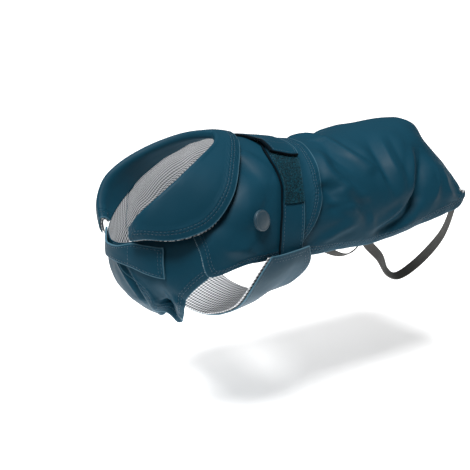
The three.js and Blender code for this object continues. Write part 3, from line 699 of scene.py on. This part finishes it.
class Panel:
    """A grid of points laid over the form: the outer face of one piece of cloth."""

    def __init__(self, name, columns, rows, place, hems=()):
        nothing_selected()
        bpy.ops.mesh.primitive_grid_add(x_subdivisions=columns, y_subdivisions=rows, size=1)
        self.obj = bpy.context.object
        self.obj.name = self.obj.data.name = name
        mesh = self.obj.data
        flat = np.zeros(len(mesh.vertices) * 3)
        mesh.vertices.foreach_get("co", flat)
        flat = flat.reshape(-1, 3)
        self.order = np.lexsort((np.round(flat[:, 0], 5), np.round(flat[:, 1], 5)))
        self.columns = len(np.unique(np.round(flat[:, 0], 5)))
        shape = (len(flat) // self.columns, self.columns)
        u = (flat[self.order, 0] + 0.5).reshape(shape)
        v = (flat[self.order, 1] + 0.5).reshape(shape)
        self.points, self.out = place(u, v)
        self.measure(hems)
        self.points = self.points + self.out * self.hem_waves()[..., None]
        self.measure(hems)
        self.write()

    def measure(self, hems):
        """Distances from the hemmed edges, and runs along them."""
        across, along = run_lengths(self.points, 1), run_lengths(self.points, 0)
        self.across, self.along = across, along
        far_across = across[:, -1:] - across
        far_along = along[-1:, :] - along
        ways = {"u0": (across, along), "u1": (far_across, along), "v0": (along, across),
                "v1": (far_along, across)}
        self.edge = np.full(across.shape, 99.0)
        self.run = along.copy()
        # Each hem takes its own stretch of the waves, so that no two wave alike.
        for k, name in enumerate(hems):
            distance, run = ways[name]
            closer = distance < self.edge
            self.edge = np.where(closer, distance, self.edge)
            self.run = np.where(closer, run + 37 * k, self.run)

    def hem_waves(self):
        """A hem is never quite flat: it waves a little between its stitches."""
        run = self.run
        wave = np.sin(run / 6.1) + 0.7 * np.sin(run / 3.3 + 1.1) + 0.8 * np.sin(run / 14.7)
        return 0.16 * wave * np.exp(-(self.edge / 8.0) ** 2)

    def write(self):
        mesh = self.obj.data
        count = len(mesh.vertices)
        co = np.zeros((count, 3))
        co[self.order] = to_frame(self.points).reshape(-1, 3)
        mesh.vertices.foreach_set("co", co.ravel())
        for name, values in (("edge_mm", self.edge), ("run_mm", self.run)):
            spread = np.zeros(count, np.float32)
            spread[self.order] = values.ravel()
            mesh.attributes.new(name, "FLOAT", "POINT").data.foreach_set("value", spread)
        loops = np.zeros(len(mesh.loops), np.int32)
        mesh.loops.foreach_get("vertex_index", loops)
        uv = np.zeros((count, 2))
        uv[self.order] = np.stack([self.across, self.along], -1).reshape(-1, 2) / 1000
        mesh.uv_layers["UVMap"].data.foreach_set("uv", uv[loops].ravel())
        mesh.update()
        middle = len(mesh.polygons) // 2 + self.columns // 2
        face = mesh.polygons[middle]
        out = np.zeros((count, 3))
        out[self.order] = self.out.reshape(-1, 3)
        if Vector(out[face.vertices[0]]).dot(face.normal) < 0:
            mesh.flip_normals()
        mesh.update()

    def paint_gap_shade(self, edge, wide):
        """Paints shade on a strip along one edge (u0 or v0): near black, for the shadow in the gap
        under that edge.
        """
        distance = self.across if edge == "u0" else self.along
        strip = np.zeros(distance.size, np.float32)
        strip[self.order] = 1 - smooth(distance, wide - 0.3, wide + 0.1).ravel()
        data = self.obj.data.attributes.get("gap_shade_mask")
        if data is None:
            data = self.obj.data.attributes.new("gap_shade_mask", "FLOAT", "POINT")
        before = np.zeros(distance.size, np.float32)
        data.data.foreach_get("value", before)
        data.data.foreach_set("value", np.maximum(before, strip))

    def thicken(self, outer, inner=None, cloth=None, hem=None):
        """Gives the cloth its thickness, inwards, and its hems theirs."""
        cloth = sizes().cloth_mm if cloth is None else cloth
        hem = sizes().hem_mm if hem is None else hem
        share = self.obj.vertex_groups.new(name="thickness")
        count = len(self.obj.data.vertices)
        weights = np.zeros(count)
        weights[self.order] = mix(1.0, cloth / hem, smooth(self.edge, 7.5, 10.5)).ravel()
        for level in np.unique(np.round(weights, 2)):
            where = np.nonzero(np.abs(np.round(weights, 2) - level) < 1e-6)[0]
            share.add(where.tolist(), float(level), "REPLACE")
        self.obj.data.materials.append(outer)
        self.obj.data.materials.append(inner or outer)
        apply_modifier(self.obj, "SOLIDIFY", thickness=hem / 1000, offset=-1,
                       vertex_group="thickness", material_offset=1, use_quality_normals=True)
        finish_mesh(self.obj)
        return self.obj

    def row(self, edge, inset, trim=0.0):
        """Points, ways out and runs of a line at a distance inside an edge."""
        turn = (lambda x: x) if edge[0] == "u" else (lambda x: np.swapaxes(x, 0, 1))
        flip = (lambda x: x) if edge[1] == "1" else (lambda x: x[:, ::-1])
        points, out = flip(turn(self.points)), flip(turn(self.out))
        length = run_lengths(points, 1)
        left = length[:, -1:] - length
        line, ways = [], []
        for j in range(len(points)):
            at = np.interp(inset, left[j, ::-1], np.arange(points.shape[1])[::-1])
            i = min(int(at), points.shape[1] - 2)
            line.append(mix(points[j, i], points[j, i + 1], at - i))
            ways.append(mix(out[j, i], out[j, i + 1], at - i))
        line, ways = np.array(line), unit(np.array(ways))
        run = np.concatenate([[0], np.cumsum(np.linalg.norm(np.diff(line, axis=0), axis=-1))])
        keep = (run >= trim) & (run <= run[-1] - trim)
        return line[keep], ways[keep]

    def line(self, places):
        """A line through places (u, v) of the panel, from 0 to 1, in short steps."""
        corners = np.array(places, float)
        steps = np.concatenate([np.linspace(p, q, 40, endpoint=False)
                                for p, q in zip(corners[:-1], corners[1:])] + [corners[-1:]])
        rows, columns = np.array(self.points.shape[:2]) - 1
        i = np.clip(np.round(steps[:, 0] * columns).astype(int), 0, columns)
        j = np.clip(np.round(steps[:, 1] * rows).astype(int), 0, rows)
        pick = np.concatenate([[True], (np.diff(i) != 0) | (np.diff(j) != 0)])
        return self.points[j[pick], i[pick]], self.out[j[pick], i[pick]]


def finish_mesh(obj):
    only(obj)
    bpy.ops.object.shade_smooth_by_angle(angle=np.radians(50))


STITCH_GAP, STITCH_RISE = 0.85, 0.02    # mm between two stitches, and above the cloth


def at_run(at, run, points):
    """The point of a line at a run along it."""
    return np.array([np.interp(at, run, points[:, k]) for k in range(3)])


def stitches(name, lines):
    """Stitches along lines on the cloth: one is modelled, the rest are its copies."""
    nothing_selected()
    bpy.ops.mesh.primitive_ico_sphere_add(subdivisions=1, radius=1)
    obj = bpy.context.object
    obj.name = obj.data.name = name
    base = np.array([v.co for v in obj.data.vertices])
    faces = np.array([list(p.vertices) for p in obj.data.polygons])
    step = sizes().stitch_mm + STITCH_GAP
    scale = np.array([sizes().stitch_mm / 2, sizes().thread_mm / 2, sizes().thread_mm * 0.36])
    all_points, all_faces = [], []
    for points, ways in lines:
        run = np.concatenate([[0], np.cumsum(np.linalg.norm(np.diff(points, axis=0), axis=-1))])
        for at in np.arange(step / 2, run[-1] - step / 4, step):
            out = unit(at_run(at, run, ways))
            way = unit(at_run(at + 1, run, points) - at_run(at - 1, run, points))
            side = unit(np.cross(out, way))
            centre = at_run(at, run, points) + out * STITCH_RISE
            all_faces.append(faces + len(all_points) * len(base))
            all_points.append(centre + base * scale @ np.array([way, side, out]))
    mesh = bpy.data.meshes.new(name)
    points = to_frame(np.concatenate(all_points))
    mesh.from_pydata(points.tolist(), [], np.concatenate(all_faces).tolist())
    mesh.update()
    old = obj.data
    obj.data = mesh
    bpy.data.meshes.remove(old)
    mesh.name = name
    obj.data.materials.append(sewing_thread())
    only(obj)
    bpy.ops.object.shade_smooth()
    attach(obj, BODY_NAME)
    return obj


def dress(obj, node):
    """A finished sheet takes its solid's place in the coat."""
    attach(obj, BODY_NAME)
    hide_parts(node)


def rear_body():
    start = 0.52

    def place(u, v):
        s = mix(start, S_END, u**0.92)
        for _ in range(3):
            turn = np.abs(2 * v - 1) * read(HEM, "s", "rear", s)
            s = mix(start, read(REAR_EDGE, "a", "s", turn), u**0.92)
        a = (2 * v - 1) * read(HEM, "s", "rear", s)
        return skin(s, a, CLOTH)

    panel = Panel("rear_body_cloth", 150, 196, place, hems=("u1", "v0", "v1"))
    rows = [panel.row(edge, inset, inset) for edge in ("v0", "v1", "u1") for inset in ROWS_MM]
    sewn = stitches("rear_body_stitches", rows)
    panel.thicken(coated_cloth(), gingham())
    dress(panel.obj, "rear_body")


def cape():
    def place(u, v):
        turn = 2 * v - 1
        s, a = u * 0.72, turn * 96
        for _ in range(4):
            s = SEAM / NECK_RUN + u * (read(CAPE_REAR, "a", "s", np.abs(a)) - SEAM / NECK_RUN)
            a = turn * read(CAPE_SIDE, "s", "a", s)
        return over(s, a, YOKE + CLOTH)

    panel = Panel("cape_cloth", 84, 210, place, hems=("u1", "v0", "v1"))
    rows = [panel.row(edge, inset, inset) for edge in ("u1", "v0", "v1") for inset in ROWS_MM]
    sewn = stitches("cape_stitches", rows)
    panel.thicken(coated_cloth(), gingham())
    dress(panel.obj, "cape")


def chest(side, node, columns):
    """One chest piece. The left one (side -1) laps over the right one."""
    def place(u, v):
        s, a = v * 0.4, u * 0 + 110
        for _ in range(6):
            seam = read(CAPE_SIDE, "s", "a", np.minimum(s, SEAM_END)) + SEAM_TURN
            a = mix(seam, read(LAP, "s", "a", s) if side < 0 else LAP_UNDER, u)
            s = SEAM / NECK_RUN + v * (read(CHEST_END, "a", "s", a) - SEAM / NECK_RUN)
        rise = LAP_RISE * smooth(a, 122, 138) if side < 0 else 0.3 * fold_height(PINCH, s, wrap(a))
        return skin(s, a * side, YOKE + rise + CLOTH)

    panel = Panel(node + "_cloth", columns, 84, place, hems=("v1", "u1"))
    lines = [panel.row("v1", inset, 1.0) for inset in ROWS_MM]
    lines.append(panel.row("u1", ROWS_MM[0], ROWS_MM[0]))
    sewn = stitches(node + "_stitches", lines)
    panel.thicken(coated_cloth(), gingham())
    dress(panel.obj, node)


# The neck ring: its centre and its own three axes.
RING_CENTRE = np.array([-144, 0, -28.0])
RING_BACK = np.array([0.814, 0, 0.581])
RING_SIDE = np.array([0, 1.0, 0])
RING_UP = np.array([-0.581, 0, 0.814])


def ring_point(turn, radius, up):
    turn = np.radians(turn)[..., None]
    return (RING_CENTRE + RING_BACK * np.cos(turn) * radius[..., None]
            + RING_SIDE * np.sin(turn) * radius[..., None] + RING_UP * up[..., None])


def neck_seam(turn):
    """The neck seam at a turn about the ring: its radius and its height."""
    a = turn.copy()
    for _ in range(5):
        off = skin(np.zeros_like(a), a, YOKE + CLOTH / 2, creased=False)[0] - RING_CENTRE
        x, y, z = off @ RING_BACK, off @ RING_SIDE, off @ RING_UP
        a = a + turn - np.degrees(np.arctan2(y, x))
    return np.hypot(x, y), z


def collar_profile(turn, w):
    """The collar in profile: up from the seam, over the fold, down to its free edge."""
    at = np.abs(turn)
    drop = RIGHT_DROP * smooth(turn, 110, 151)
    fold_r = read(COLLAR, "turn", "foldR", at)
    fold_up = read(COLLAR, "turn", "foldUp", at) - drop * 0.6
    edge_r = read(COLLAR, "turn", "edgeR", at)
    edge_up = read(COLLAR, "turn", "edgeUp", at) - drop
    foot_r, foot_up = neck_seam(at)
    foot_up = foot_up + SEAM + 0.6
    bend = 2.6                    # how far the fold's bend reaches, in mm
    knots = np.array([
        (foot_r, foot_up),
        (mix(foot_r, fold_r - bend, 0.55), mix(foot_up, fold_up - bend, 0.5)),
        (fold_r - bend, fold_up - bend),
        (fold_r, fold_up),
        (fold_r + bend, fold_up - bend * 0.8),
        (mix(fold_r + bend, edge_r, 0.5) + 1.2, mix(fold_up - bend, edge_up, 0.45)),
        (edge_r, edge_up),
    ]).transpose(0, 2, 1)
    step = 1e-3
    ahead, behind = [curve_through(knots, np.clip(w + d, 0, 1)) for d in (step, -step)]
    return curve_through(knots, w), unit(ahead - behind)


# Soft waves of the collar: turn, half width in degrees, height in mm.
COLLAR_WAVES = table("turn wide high", [
    (-18, 9, 0.9), (-46, 12, -0.9), (-78, 14, 1.0), (-104, 9, -0.8), (-128, 10, 0.7),
    (14, 10, 0.9), (44, 12, -0.8), (80, 13, 0.9), (112, 9, -0.7), (134, 8, 0.6),
])


def collar_layer(name, face, hems, past=0.0):
    """One layer of the collar. face: its outer face, from the fold's middle line.
    past: how far its free edge runs on past the pattern's."""
    def place(u, v):
        turn = ((2 * v - 1) * COLLAR_TURN).ravel()
        w = u.ravel()
        point, way = collar_profile(turn, w)
        off = face + sum(row["high"] * np.exp(-((turn - row["turn"]) / row["wide"]) ** 2)
                         for row in rows_of(COLLAR_WAVES)) * smooth(w, 0.45, 1)
        reach = past * smooth(w, 0.85, 1) * smooth(np.abs(turn), 84, 100)
        radius = point[:, 0] - way[:, 1] * off + way[:, 0] * reach
        up = point[:, 1] + way[:, 0] * off + way[:, 1] * reach
        points = ring_point(turn, radius, up)
        out_r, out_up = -way[:, 1], way[:, 0]
        out = ring_point(turn, out_r, out_up) - RING_CENTRE
        return points.reshape(*u.shape, 3), unit(out).reshape(*u.shape, 3)

    return Panel(name, 64, 230, place, hems)


def collar():
    outer = collar_layer("collar_cloth", 0.3 + CLOTH, ("u1", "v0", "v1"))
    rows = [outer.row("u1", inset, inset) for inset in ROWS_MM]
    rows += [outer.row(edge, ROWS_MM[0], 4.0) for edge in ("v0", "v1")]
    sewn = stitches("collar_stitches", rows)
    outer.thicken(coated_cloth(), cloth=0.8, hem=1.2)
    dress(outer.obj, "collar")
    under = collar_layer("under_collar_cloth", -0.3, (), past=1.3)
    under.thicken(gingham(), cloth=0.8, hem=0.8)
    dress(under.obj, "under_collar")


def belt(side, node):
    def place(u, v):
        s, a = strip(BELT, u, v)
        return over(s, a * side, TRIM + CLOTH)

    panel = Panel(node + "_cloth", 24, 110, place, hems=("u0", "u1"))
    sewn = stitches(node + "_stitches", [panel.row("u1", 2.4), panel.row("u0", 3.6)])
    # Painted shade along the front edge, where the gap under the belt is in shadow.
    panel.paint_gap_shade("u0", 1.9)
    panel.thicken(coated_cloth("trim"), cloth=0.9, hem=1.2)
    dress(panel.obj, node)


def loop_patch():
    def place(u, v):
        a = mix(21.0, 66.0, v)
        s = mix(read(BELT, "a", "front", a), read(BELT, "a", "rear", a), mix(0.10, 0.96, u))
        return over(s, -a, TOP + LOOP_WALL)

    panel = Panel("loop_patch_tape", 26, 96, place)
    # Loops of the pile, each a small bent tuft that leans its own way.
    random = np.random.default_rng(7)
    rows, columns = panel.points.shape[:2]
    count = 2600                  # about 1.7 to a square millimetre
    j, i = random.uniform(1, rows - 2, count), random.uniform(1, columns - 2, count)
    seat, out = panel.points[j.astype(int), i.astype(int)], panel.out[j.astype(int), i.astype(int)]
    seat = seat + random.normal(0, 0.35, seat.shape)
    lean = unit(out + random.normal(0, 0.55, out.shape))
    across = unit(np.cross(lean, random.normal(0, 1, out.shape)))
    tall, wide = random.uniform(0.45, 0.95, count)[:, None], 0.2
    foot = [seat - across * wide, seat + across * wide, seat + np.cross(lean, across) * wide]
    tip = seat + lean * tall + across * 0.35 * tall
    points = np.stack(foot + [tip], 1).reshape(-1, 3)
    base = np.arange(count)[:, None] * 4
    faces = np.concatenate([base + np.array(f) for f in ((0, 1, 3), (1, 2, 3), (2, 0, 3), (0, 2, 1))])
    mesh = bpy.data.meshes.new("loop_pile")
    mesh.from_pydata(to_frame(points).tolist(), [], faces.tolist())
    pile = bpy.data.objects.new("loop_pile", mesh)
    bpy.context.scene.collection.objects.link(pile)
    mesh.materials.append(loop_pile())
    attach(pile, BODY_NAME)
    panel.thicken(loop_pile(), cloth=0.7, hem=0.7)
    dress(panel.obj, "loop_patch")


def back_strap():
    def place(u, v):
        s, a = strip(STRAP, u, v)
        # At the nape the front edge comes down on the cape.
        nape = smooth(a, -20, -8) * (1 - smooth(a, 30, 42))
        return over(s, a, read(STRAP, "a", "lift", a) + STRAP_WALL - 2.2 * nape * (1 - u) ** 3)

    panel = Panel("back_strap_cloth", 30, 120, place, hems=("u0", "u1", "v0", "v1"))
    rows = [panel.row(edge, inset, 2.6) for edge, inset in (("u0", 5.2), ("u1", 2.6), ("v0", 3.6))]
    rows.append(panel.line([(0.20, 0.16), (0.92, 0.16)]))
    sewn = stitches("back_strap_stitches", rows)
    # Painted shade along the front edge and the free end, where the gap under the strap is in shadow.
    panel.paint_gap_shade("u0", 3.6)
    panel.paint_gap_shade("v0", 1.6)
    panel.thicken(coated_cloth("trim"), cloth=1.2, hem=1.6)
    dress(panel.obj, "back_strap")


def band_height(u, a):
    flare = read(BAND, "a", "flare", a)
    return read(BAND, "a", "lift", a) + flare * (1 - u) ** 1.5


def belly_band():
    def place(u, v, lift, inset=0.0, short=0.0):
        s, a = strip(BAND, u, v, inset, short)
        return over(s, a, band_height(u, a) + lift)

    cloth_lift = LINING_WALL + GAP + 0.25 + CLOTH
    outer = Panel("belly_band_cloth", 34, 220, lambda u, v: place(u, v, cloth_lift),
                  hems=("u0", "u1", "v0", "v1"))
    rows = [outer.row(edge, inset, inset) for edge in ("u1", "v0", "v1") for inset in (3.2, 6.0)]
    rows.append(outer.row("u0", 3.2, 3.2))
    sewn = stitches("belly_band_stitches", rows)
    outer.thicken(coated_cloth("band"), cloth=0.9, hem=1.2)
    dress(outer.obj, "belly_band")
    # The lining's front edge shows past the cloth, as a checked piping.
    inner = Panel("belly_band_gingham", 34, 220,
                  lambda u, v: place(u, v, LINING_WALL, 0.003 - 0.010 * (1 - u) ** 6, 0.9))
    inner.thicken(gingham(), cloth=0.8, hem=0.8)
    dress(inner.obj, "belly_band_lining")


def tab_height(v):
    lap = TOP + 0.6 + 0.5 * (1 - smooth(v, 0, 0.3))
    return mix(lap, YOKE + CLOTH + GAP, smooth(v, 0.68, 0.94)) + STRAP_WALL


def neck_tab():
    def place(u, v):
        k = v * (len(TAB["k"]) - 1)
        s = mix(read(TAB, "k", "s0", k), read(TAB, "k", "s1", k), u)
        a = mix(read(TAB, "k", "a0", k), read(TAB, "k", "a1", k), u)
        return skin(s, a, tab_height(v), creased=False)

    panel = Panel("neck_tab_cloth", 26, 96, place, hems=("u0", "u1", "v0"))
    rows = [panel.row(edge, 2.2, 2.2) for edge in ("u0", "u1", "v0")]
    rows.append(panel.row("v0", 5.0, 2.2))
    rows.append(panel.line([(0.10, 0.36), (0.90, 0.36)]))
    sewn = stitches("neck_tab_stitches", rows)
    panel.thicken(coated_cloth("trim"), cloth=1.2, hem=1.6)
    dress(panel.obj, "neck_tab")


SNAP_RADIUS, SNAP_HEIGHT = 8.8, 3.6
SNAP_LEAN = 15.0                  # degrees that the caps lean back from the cloth
SNAP_S, SNAP_TURN = 0.345, 80.0   # where they sit on the cape
SNAP_SINK = 0.55                  # mm that they press into the cloth


def snap(side, node):
    """A domed snap cap: a low drum whose face is inset, sunk and raised again."""
    nothing_selected()
    drum = SNAP_HEIGHT * 0.62
    bpy.ops.mesh.primitive_cylinder_add(vertices=72, radius=SNAP_RADIUS / 1000,
                                        depth=drum / 1000)
    obj = bpy.context.object
    obj.name = obj.data.name = node + "_cap"
    bpy.ops.object.mode_set(mode="EDIT")
    bpy.ops.mesh.select_mode(type="FACE")
    bpy.ops.mesh.select_all(action="DESELECT")
    bpy.ops.object.mode_set(mode="OBJECT")
    for face in obj.data.polygons:
        face.select = face.normal.z > 0.9
    bpy.ops.object.mode_set(mode="EDIT")
    # The rolled rim, a faint step inside it, then the low dome of the face.
    for width, rise in ((0.5, 0.45), (0.6, 0.15), (0.35, -0.12), (0.9, 0.18), (1.6, 0.2),
                        (2.2, 0.14), (1.4, 0.04)):
        bpy.ops.mesh.inset(thickness=width / 1000, depth=rise / 1000)
    bpy.ops.object.mode_set(mode="OBJECT")
    apply_modifier(obj, "BEVEL", width=0.25 / 1000, segments=3, limit_method="ANGLE",
                   angle_limit=np.radians(24))
    where = np.array(SNAP_S), np.array(side * SNAP_TURN)
    height = TRIM - SNAP_SINK + SNAP_RADIUS * np.sin(np.radians(SNAP_LEAN))
    point, _ = over(*where, height, creased=False)
    out = unit(normal_of(folded, *where) + np.array([np.tan(np.radians(SNAP_LEAN)), 0, 0]))
    seat = Vector(to_frame(point)) + Vector(out) * drum / 2000
    obj.matrix_world = Matrix.Translation(seat) @ Vector((0, 0, 1)).rotation_difference(
        Vector(out)).to_matrix().to_4x4()
    only(obj)
    bpy.ops.object.transform_apply(location=True, rotation=True, scale=True)
    bpy.ops.object.shade_smooth_by_angle(angle=np.radians(35))
    obj.data.materials.append(painted_snap())
    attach(obj, BODY_NAME)
    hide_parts(node)


def leg_elastic(side, node):
    """A flat woven band from inside the side hem, behind the leg and up to the rear hem."""
    wall, width = 1.2, 9.0

    def seat(s, past):
        a = (read(HEM, "s", "rear", s) + past) * side
        return skin(np.array(s), a, -GAP - 0.95 - wall / 2, creased=False)[0]

    middle = np.stack([ELASTIC["x"], -ELASTIC["y"] * side, ELASTIC["z"]], -1)
    knots = np.array([
        seat(ELASTIC_FROM - 0.02, -12), seat(ELASTIC_FROM, -5), seat(ELASTIC_FROM + 0.02, 2),
        *middle, seat(ELASTIC_TO - 0.01, 2), seat(ELASTIC_TO, -5), seat(ELASTIC_TO + 0.01, -12)])
    spans = len(knots) - 1
    turns = {"t": np.array([2.0, *(ELASTIC["t"] + 2), spans - 2]),
             "roll": np.array([0.0, *ELASTIC["roll"], 0])}
    sewn = [normal_of(folded, np.array(s), (read(HEM, "s", "rear", s) - 5) * side)
            for s in (ELASTIC_FROM, ELASTIC_TO)]

    def place(u, v):
        flat_v = v.ravel()
        t = flat_v * spans
        point = curve_through(knots, flat_v)
        way = unit(curve_through(knots, np.minimum(flat_v + 1e-3, 1))
                   - curve_through(knots, np.maximum(flat_v - 1e-3, 0)))
        first = (t < spans / 2)[:, None]
        near = smooth(np.minimum(t, spans - t), 2, 3)[:, None]
        out = mix(np.where(first, sewn[0], sewn[1]), np.array([0, side, 0]), near)
        out = unit(out - way * np.sum(out * way, -1, keepdims=True))
        roll = np.radians(read(turns, "t", "roll", t))[:, None] * side
        out = out * np.cos(roll) + np.cross(way, out) * np.sin(roll)
        across = np.cross(way, out)
        points = point + across * ((u.ravel() - 0.5) * width)[:, None] + out * wall / 2
        return points.reshape(*u.shape, 3), out.reshape(*u.shape, 3)

    panel = Panel(node + "_band", 10, 230, place)
    panel.thicken(woven_elastic(), cloth=wall, hem=wall)
    # Under 10 mm wide, the band is too narrow to be declared as a sheet.
    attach(panel.obj, BODY_NAME)
    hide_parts(node)


# The camera: turned to the head's side, a little above, as the photograph has it.
CAMERA_TURN, CAMERA_RISE = -33.5, 16.0
CAMERA_PLACE = (-0.50884, -0.6587, 0.14887)
FRAME_PIXELS, FOCAL_PIXELS = 470, 900
SENSOR_MM = 36.0
FLOOR_DROP = 0.2348               # the wearer's feet below the origin
PAPER_SIZE, PAPER_FRONT = 30.0, 0.28


def studio_camera():
    turn, rise = np.radians(CAMERA_TURN), np.radians(CAMERA_RISE)
    back = Vector((np.sin(turn) * np.cos(rise), -np.cos(turn) * np.cos(rise), np.sin(rise)))
    right = Vector((np.cos(turn), np.sin(turn), 0))
    data = bpy.data.cameras.new("camera")
    data.sensor_width = SENSOR_MM
    data.lens = SENSOR_MM * FOCAL_PIXELS / FRAME_PIXELS
    data.clip_start, data.clip_end = 0.01, 100
    camera = bpy.data.objects.new("camera", data)
    bpy.context.scene.collection.objects.link(camera)
    axes = Matrix((right, back.cross(right), back)).transposed().to_4x4()
    camera.matrix_world = Matrix.Translation(CAMERA_PLACE) @ axes
    bpy.context.scene.camera = camera


def studio_lamp(name, place, aim, width, power):
    data = bpy.data.lights.new(name, "AREA")
    data.shape = "SQUARE"
    data.size = width
    data.energy = power
    lamp = bpy.data.objects.new(name, data)
    bpy.context.scene.collection.objects.link(lamp)
    way = Vector(place) - Vector(aim)
    lamp.matrix_world = Matrix.Translation(place) @ way.to_track_quat("Z", "Y").to_matrix().to_4x4()


def studio():
    nothing_selected()
    # A sheet of paper that begins just below the picture, so that the flank mirrors a
    # dark room and the undersides mirror white paper.
    turn = np.radians(CAMERA_TURN)
    ahead = PAPER_SIZE / 2 - PAPER_FRONT
    bpy.ops.mesh.primitive_grid_add(
        x_subdivisions=8, y_subdivisions=8, size=PAPER_SIZE, rotation=(0, 0, turn),
        location=(-np.sin(turn) * ahead, np.cos(turn) * ahead, -FLOOR_DROP))
    floor = bpy.context.object
    floor.name = "floor"
    material, tree, shader = new_material("white_paper_floor")
    shader.inputs["Base Color"].default_value = linear("fafafa")
    shader.inputs["Roughness"].default_value = 0.9
    # A table lit from below, so that the shadow stays faint.
    shader.inputs["Emission Color"].default_value = linear("ffffff")
    shader.inputs["Emission Strength"].default_value = 0.5
    floor.data.materials.append(material)
    world = bpy.data.worlds.new("studio")
    world.use_nodes = True
    background = world.node_tree.nodes["Background"]
    background.inputs["Color"].default_value = linear("ffffff")
    background.inputs["Strength"].default_value = 0.1
    bpy.context.scene.world = world
    sun = bpy.data.lights.new("soft_sky", "SUN")
    sun.energy = 3.8
    sun.angle = np.radians(24)
    lamp = bpy.data.objects.new("soft_sky", sun)
    bpy.context.scene.collection.objects.link(lamp)
    lamp.matrix_world = Vector((-0.35, -0.25, 1)).to_track_quat("Z", "Y").to_matrix().to_4x4()
    studio_lamp("top_softbox", (-0.30, 0.35, 1.0), (-0.02, 0, -0.05), 0.8, 4)
    studio_lamp("front_softbox", (-1.1, -0.5, 0.55), (-0.1, 0, -0.06), 0.5, 2.2)
    studio_lamp("table_glow", (-0.13, -0.05, -0.225), (-0.13, -0.06, 0), 0.3, 0.42)
    bpy.context.scene.view_settings.view_transform = "Standard"


class RAINCOAT_OT_rear_body(bpy.types.Operator):
    """Rear body over the back and both flanks"""

    bl_idname = "raincoat.rear_body"
    bl_label = "Rear Body"

    def execute(self, context):
        rear_body()
        return {"FINISHED"}


class RAINCOAT_OT_cape(bpy.types.Operator):
    """Shoulder cape"""

    bl_idname = "raincoat.cape"
    bl_label = "Cape"

    def execute(self, context):
        cape()
        return {"FINISHED"}


class RAINCOAT_OT_chest(bpy.types.Operator):
    """The two lapped chest pieces"""

    bl_idname = "raincoat.chest"
    bl_label = "Chest"

    def execute(self, context):
        chest(1, "chest_right", 140)
        chest(-1, "chest_left", 96)
        return {"FINISHED"}


class RAINCOAT_OT_collar(bpy.types.Operator):
    """Turned-down collar with its gingham under layer"""

    bl_idname = "raincoat.collar"
    bl_label = "Collar"

    def execute(self, context):
        collar()
        return {"FINISHED"}


class RAINCOAT_OT_belts(bpy.types.Operator):
    """Belt strips, hook-and-loop patch and the strap over the back"""

    bl_idname = "raincoat.belts"
    bl_label = "Belts and Strap"

    def execute(self, context):
        belt(-1, "belt_left")
        belt(1, "belt_right")
        loop_patch()
        back_strap()
        return {"FINISHED"}


class RAINCOAT_OT_belly_band(bpy.types.Operator):
    """Belly band and its gingham lining"""

    bl_idname = "raincoat.belly_band"
    bl_label = "Belly Band"

    def execute(self, context):
        belly_band()
        return {"FINISHED"}


class RAINCOAT_OT_neck_tab(bpy.types.Operator):
    """Neck tab over the lapped chest"""

    bl_idname = "raincoat.neck_tab"
    bl_label = "Neck Tab"

    def execute(self, context):
        neck_tab()
        return {"FINISHED"}


class RAINCOAT_OT_snaps(bpy.types.Operator):
    """Painted snap caps"""

    bl_idname = "raincoat.snaps"
    bl_label = "Snaps"

    def execute(self, context):
        snap(-1, "snap_left")
        snap(1, "snap_right")
        return {"FINISHED"}


class RAINCOAT_OT_elastics(bpy.types.Operator):
    """Hind-leg elastics"""

    bl_idname = "raincoat.elastics"
    bl_label = "Leg Elastics"

    def execute(self, context):
        leg_elastic(-1, "leg_elastic_left")
        leg_elastic(1, "leg_elastic_right")
        return {"FINISHED"}


class RAINCOAT_OT_studio(bpy.types.Operator):
    """Camera, white floor and soft lights"""

    bl_idname = "raincoat.studio"
    bl_label = "Studio"

    def execute(self, context):
        studio_camera()
        studio()
        return {"FINISHED"}


STEPS = (
    RAINCOAT_OT_studio, RAINCOAT_OT_rear_body, RAINCOAT_OT_cape, RAINCOAT_OT_chest,
    RAINCOAT_OT_collar, RAINCOAT_OT_belts, RAINCOAT_OT_belly_band, RAINCOAT_OT_neck_tab,
    RAINCOAT_OT_snaps, RAINCOAT_OT_elastics,
)


class RAINCOAT_PT_panel(bpy.types.Panel):
    """Lists the coat's pieces"""

    bl_idname = "RAINCOAT_PT_panel"
    bl_label = "Dog Raincoat"
    bl_space_type = "VIEW_3D"
    bl_region_type = "UI"
    bl_category = "Raincoat"

    def draw(self, context):
        layout = self.layout
        for group in (context.scene.raincoat_sizes, context.scene.raincoat_colours):
            for name in group.bl_rna.properties.keys():
                if name not in ("rna_type", "name"):
                    layout.prop(group, name)
        for step in STEPS:
            layout.operator(step.bl_idname)


CLASSES = (RaincoatSizes, RaincoatColours, *STEPS, RAINCOAT_PT_panel)


def register():
    for item in CLASSES:
        bpy.utils.register_class(item)
    bpy.types.Scene.raincoat_sizes = bpy.props.PointerProperty(type=RaincoatSizes)
    bpy.types.Scene.raincoat_colours = bpy.props.PointerProperty(type=RaincoatColours)


def unregister():
    del bpy.types.Scene.raincoat_colours
    del bpy.types.Scene.raincoat_sizes
    for item in reversed(CLASSES):
        bpy.utils.unregister_class(item)


def main():
    register()
    bpy.ops.raincoat.studio()
    bpy.ops.raincoat.rear_body()
    bpy.ops.raincoat.cape()
    bpy.ops.raincoat.chest()
    bpy.ops.raincoat.collar()
    bpy.ops.raincoat.belts()
    bpy.ops.raincoat.belly_band()
    bpy.ops.raincoat.neck_tab()
    bpy.ops.raincoat.snaps()
    bpy.ops.raincoat.elastics()


if __name__ == "__main__":
    main()
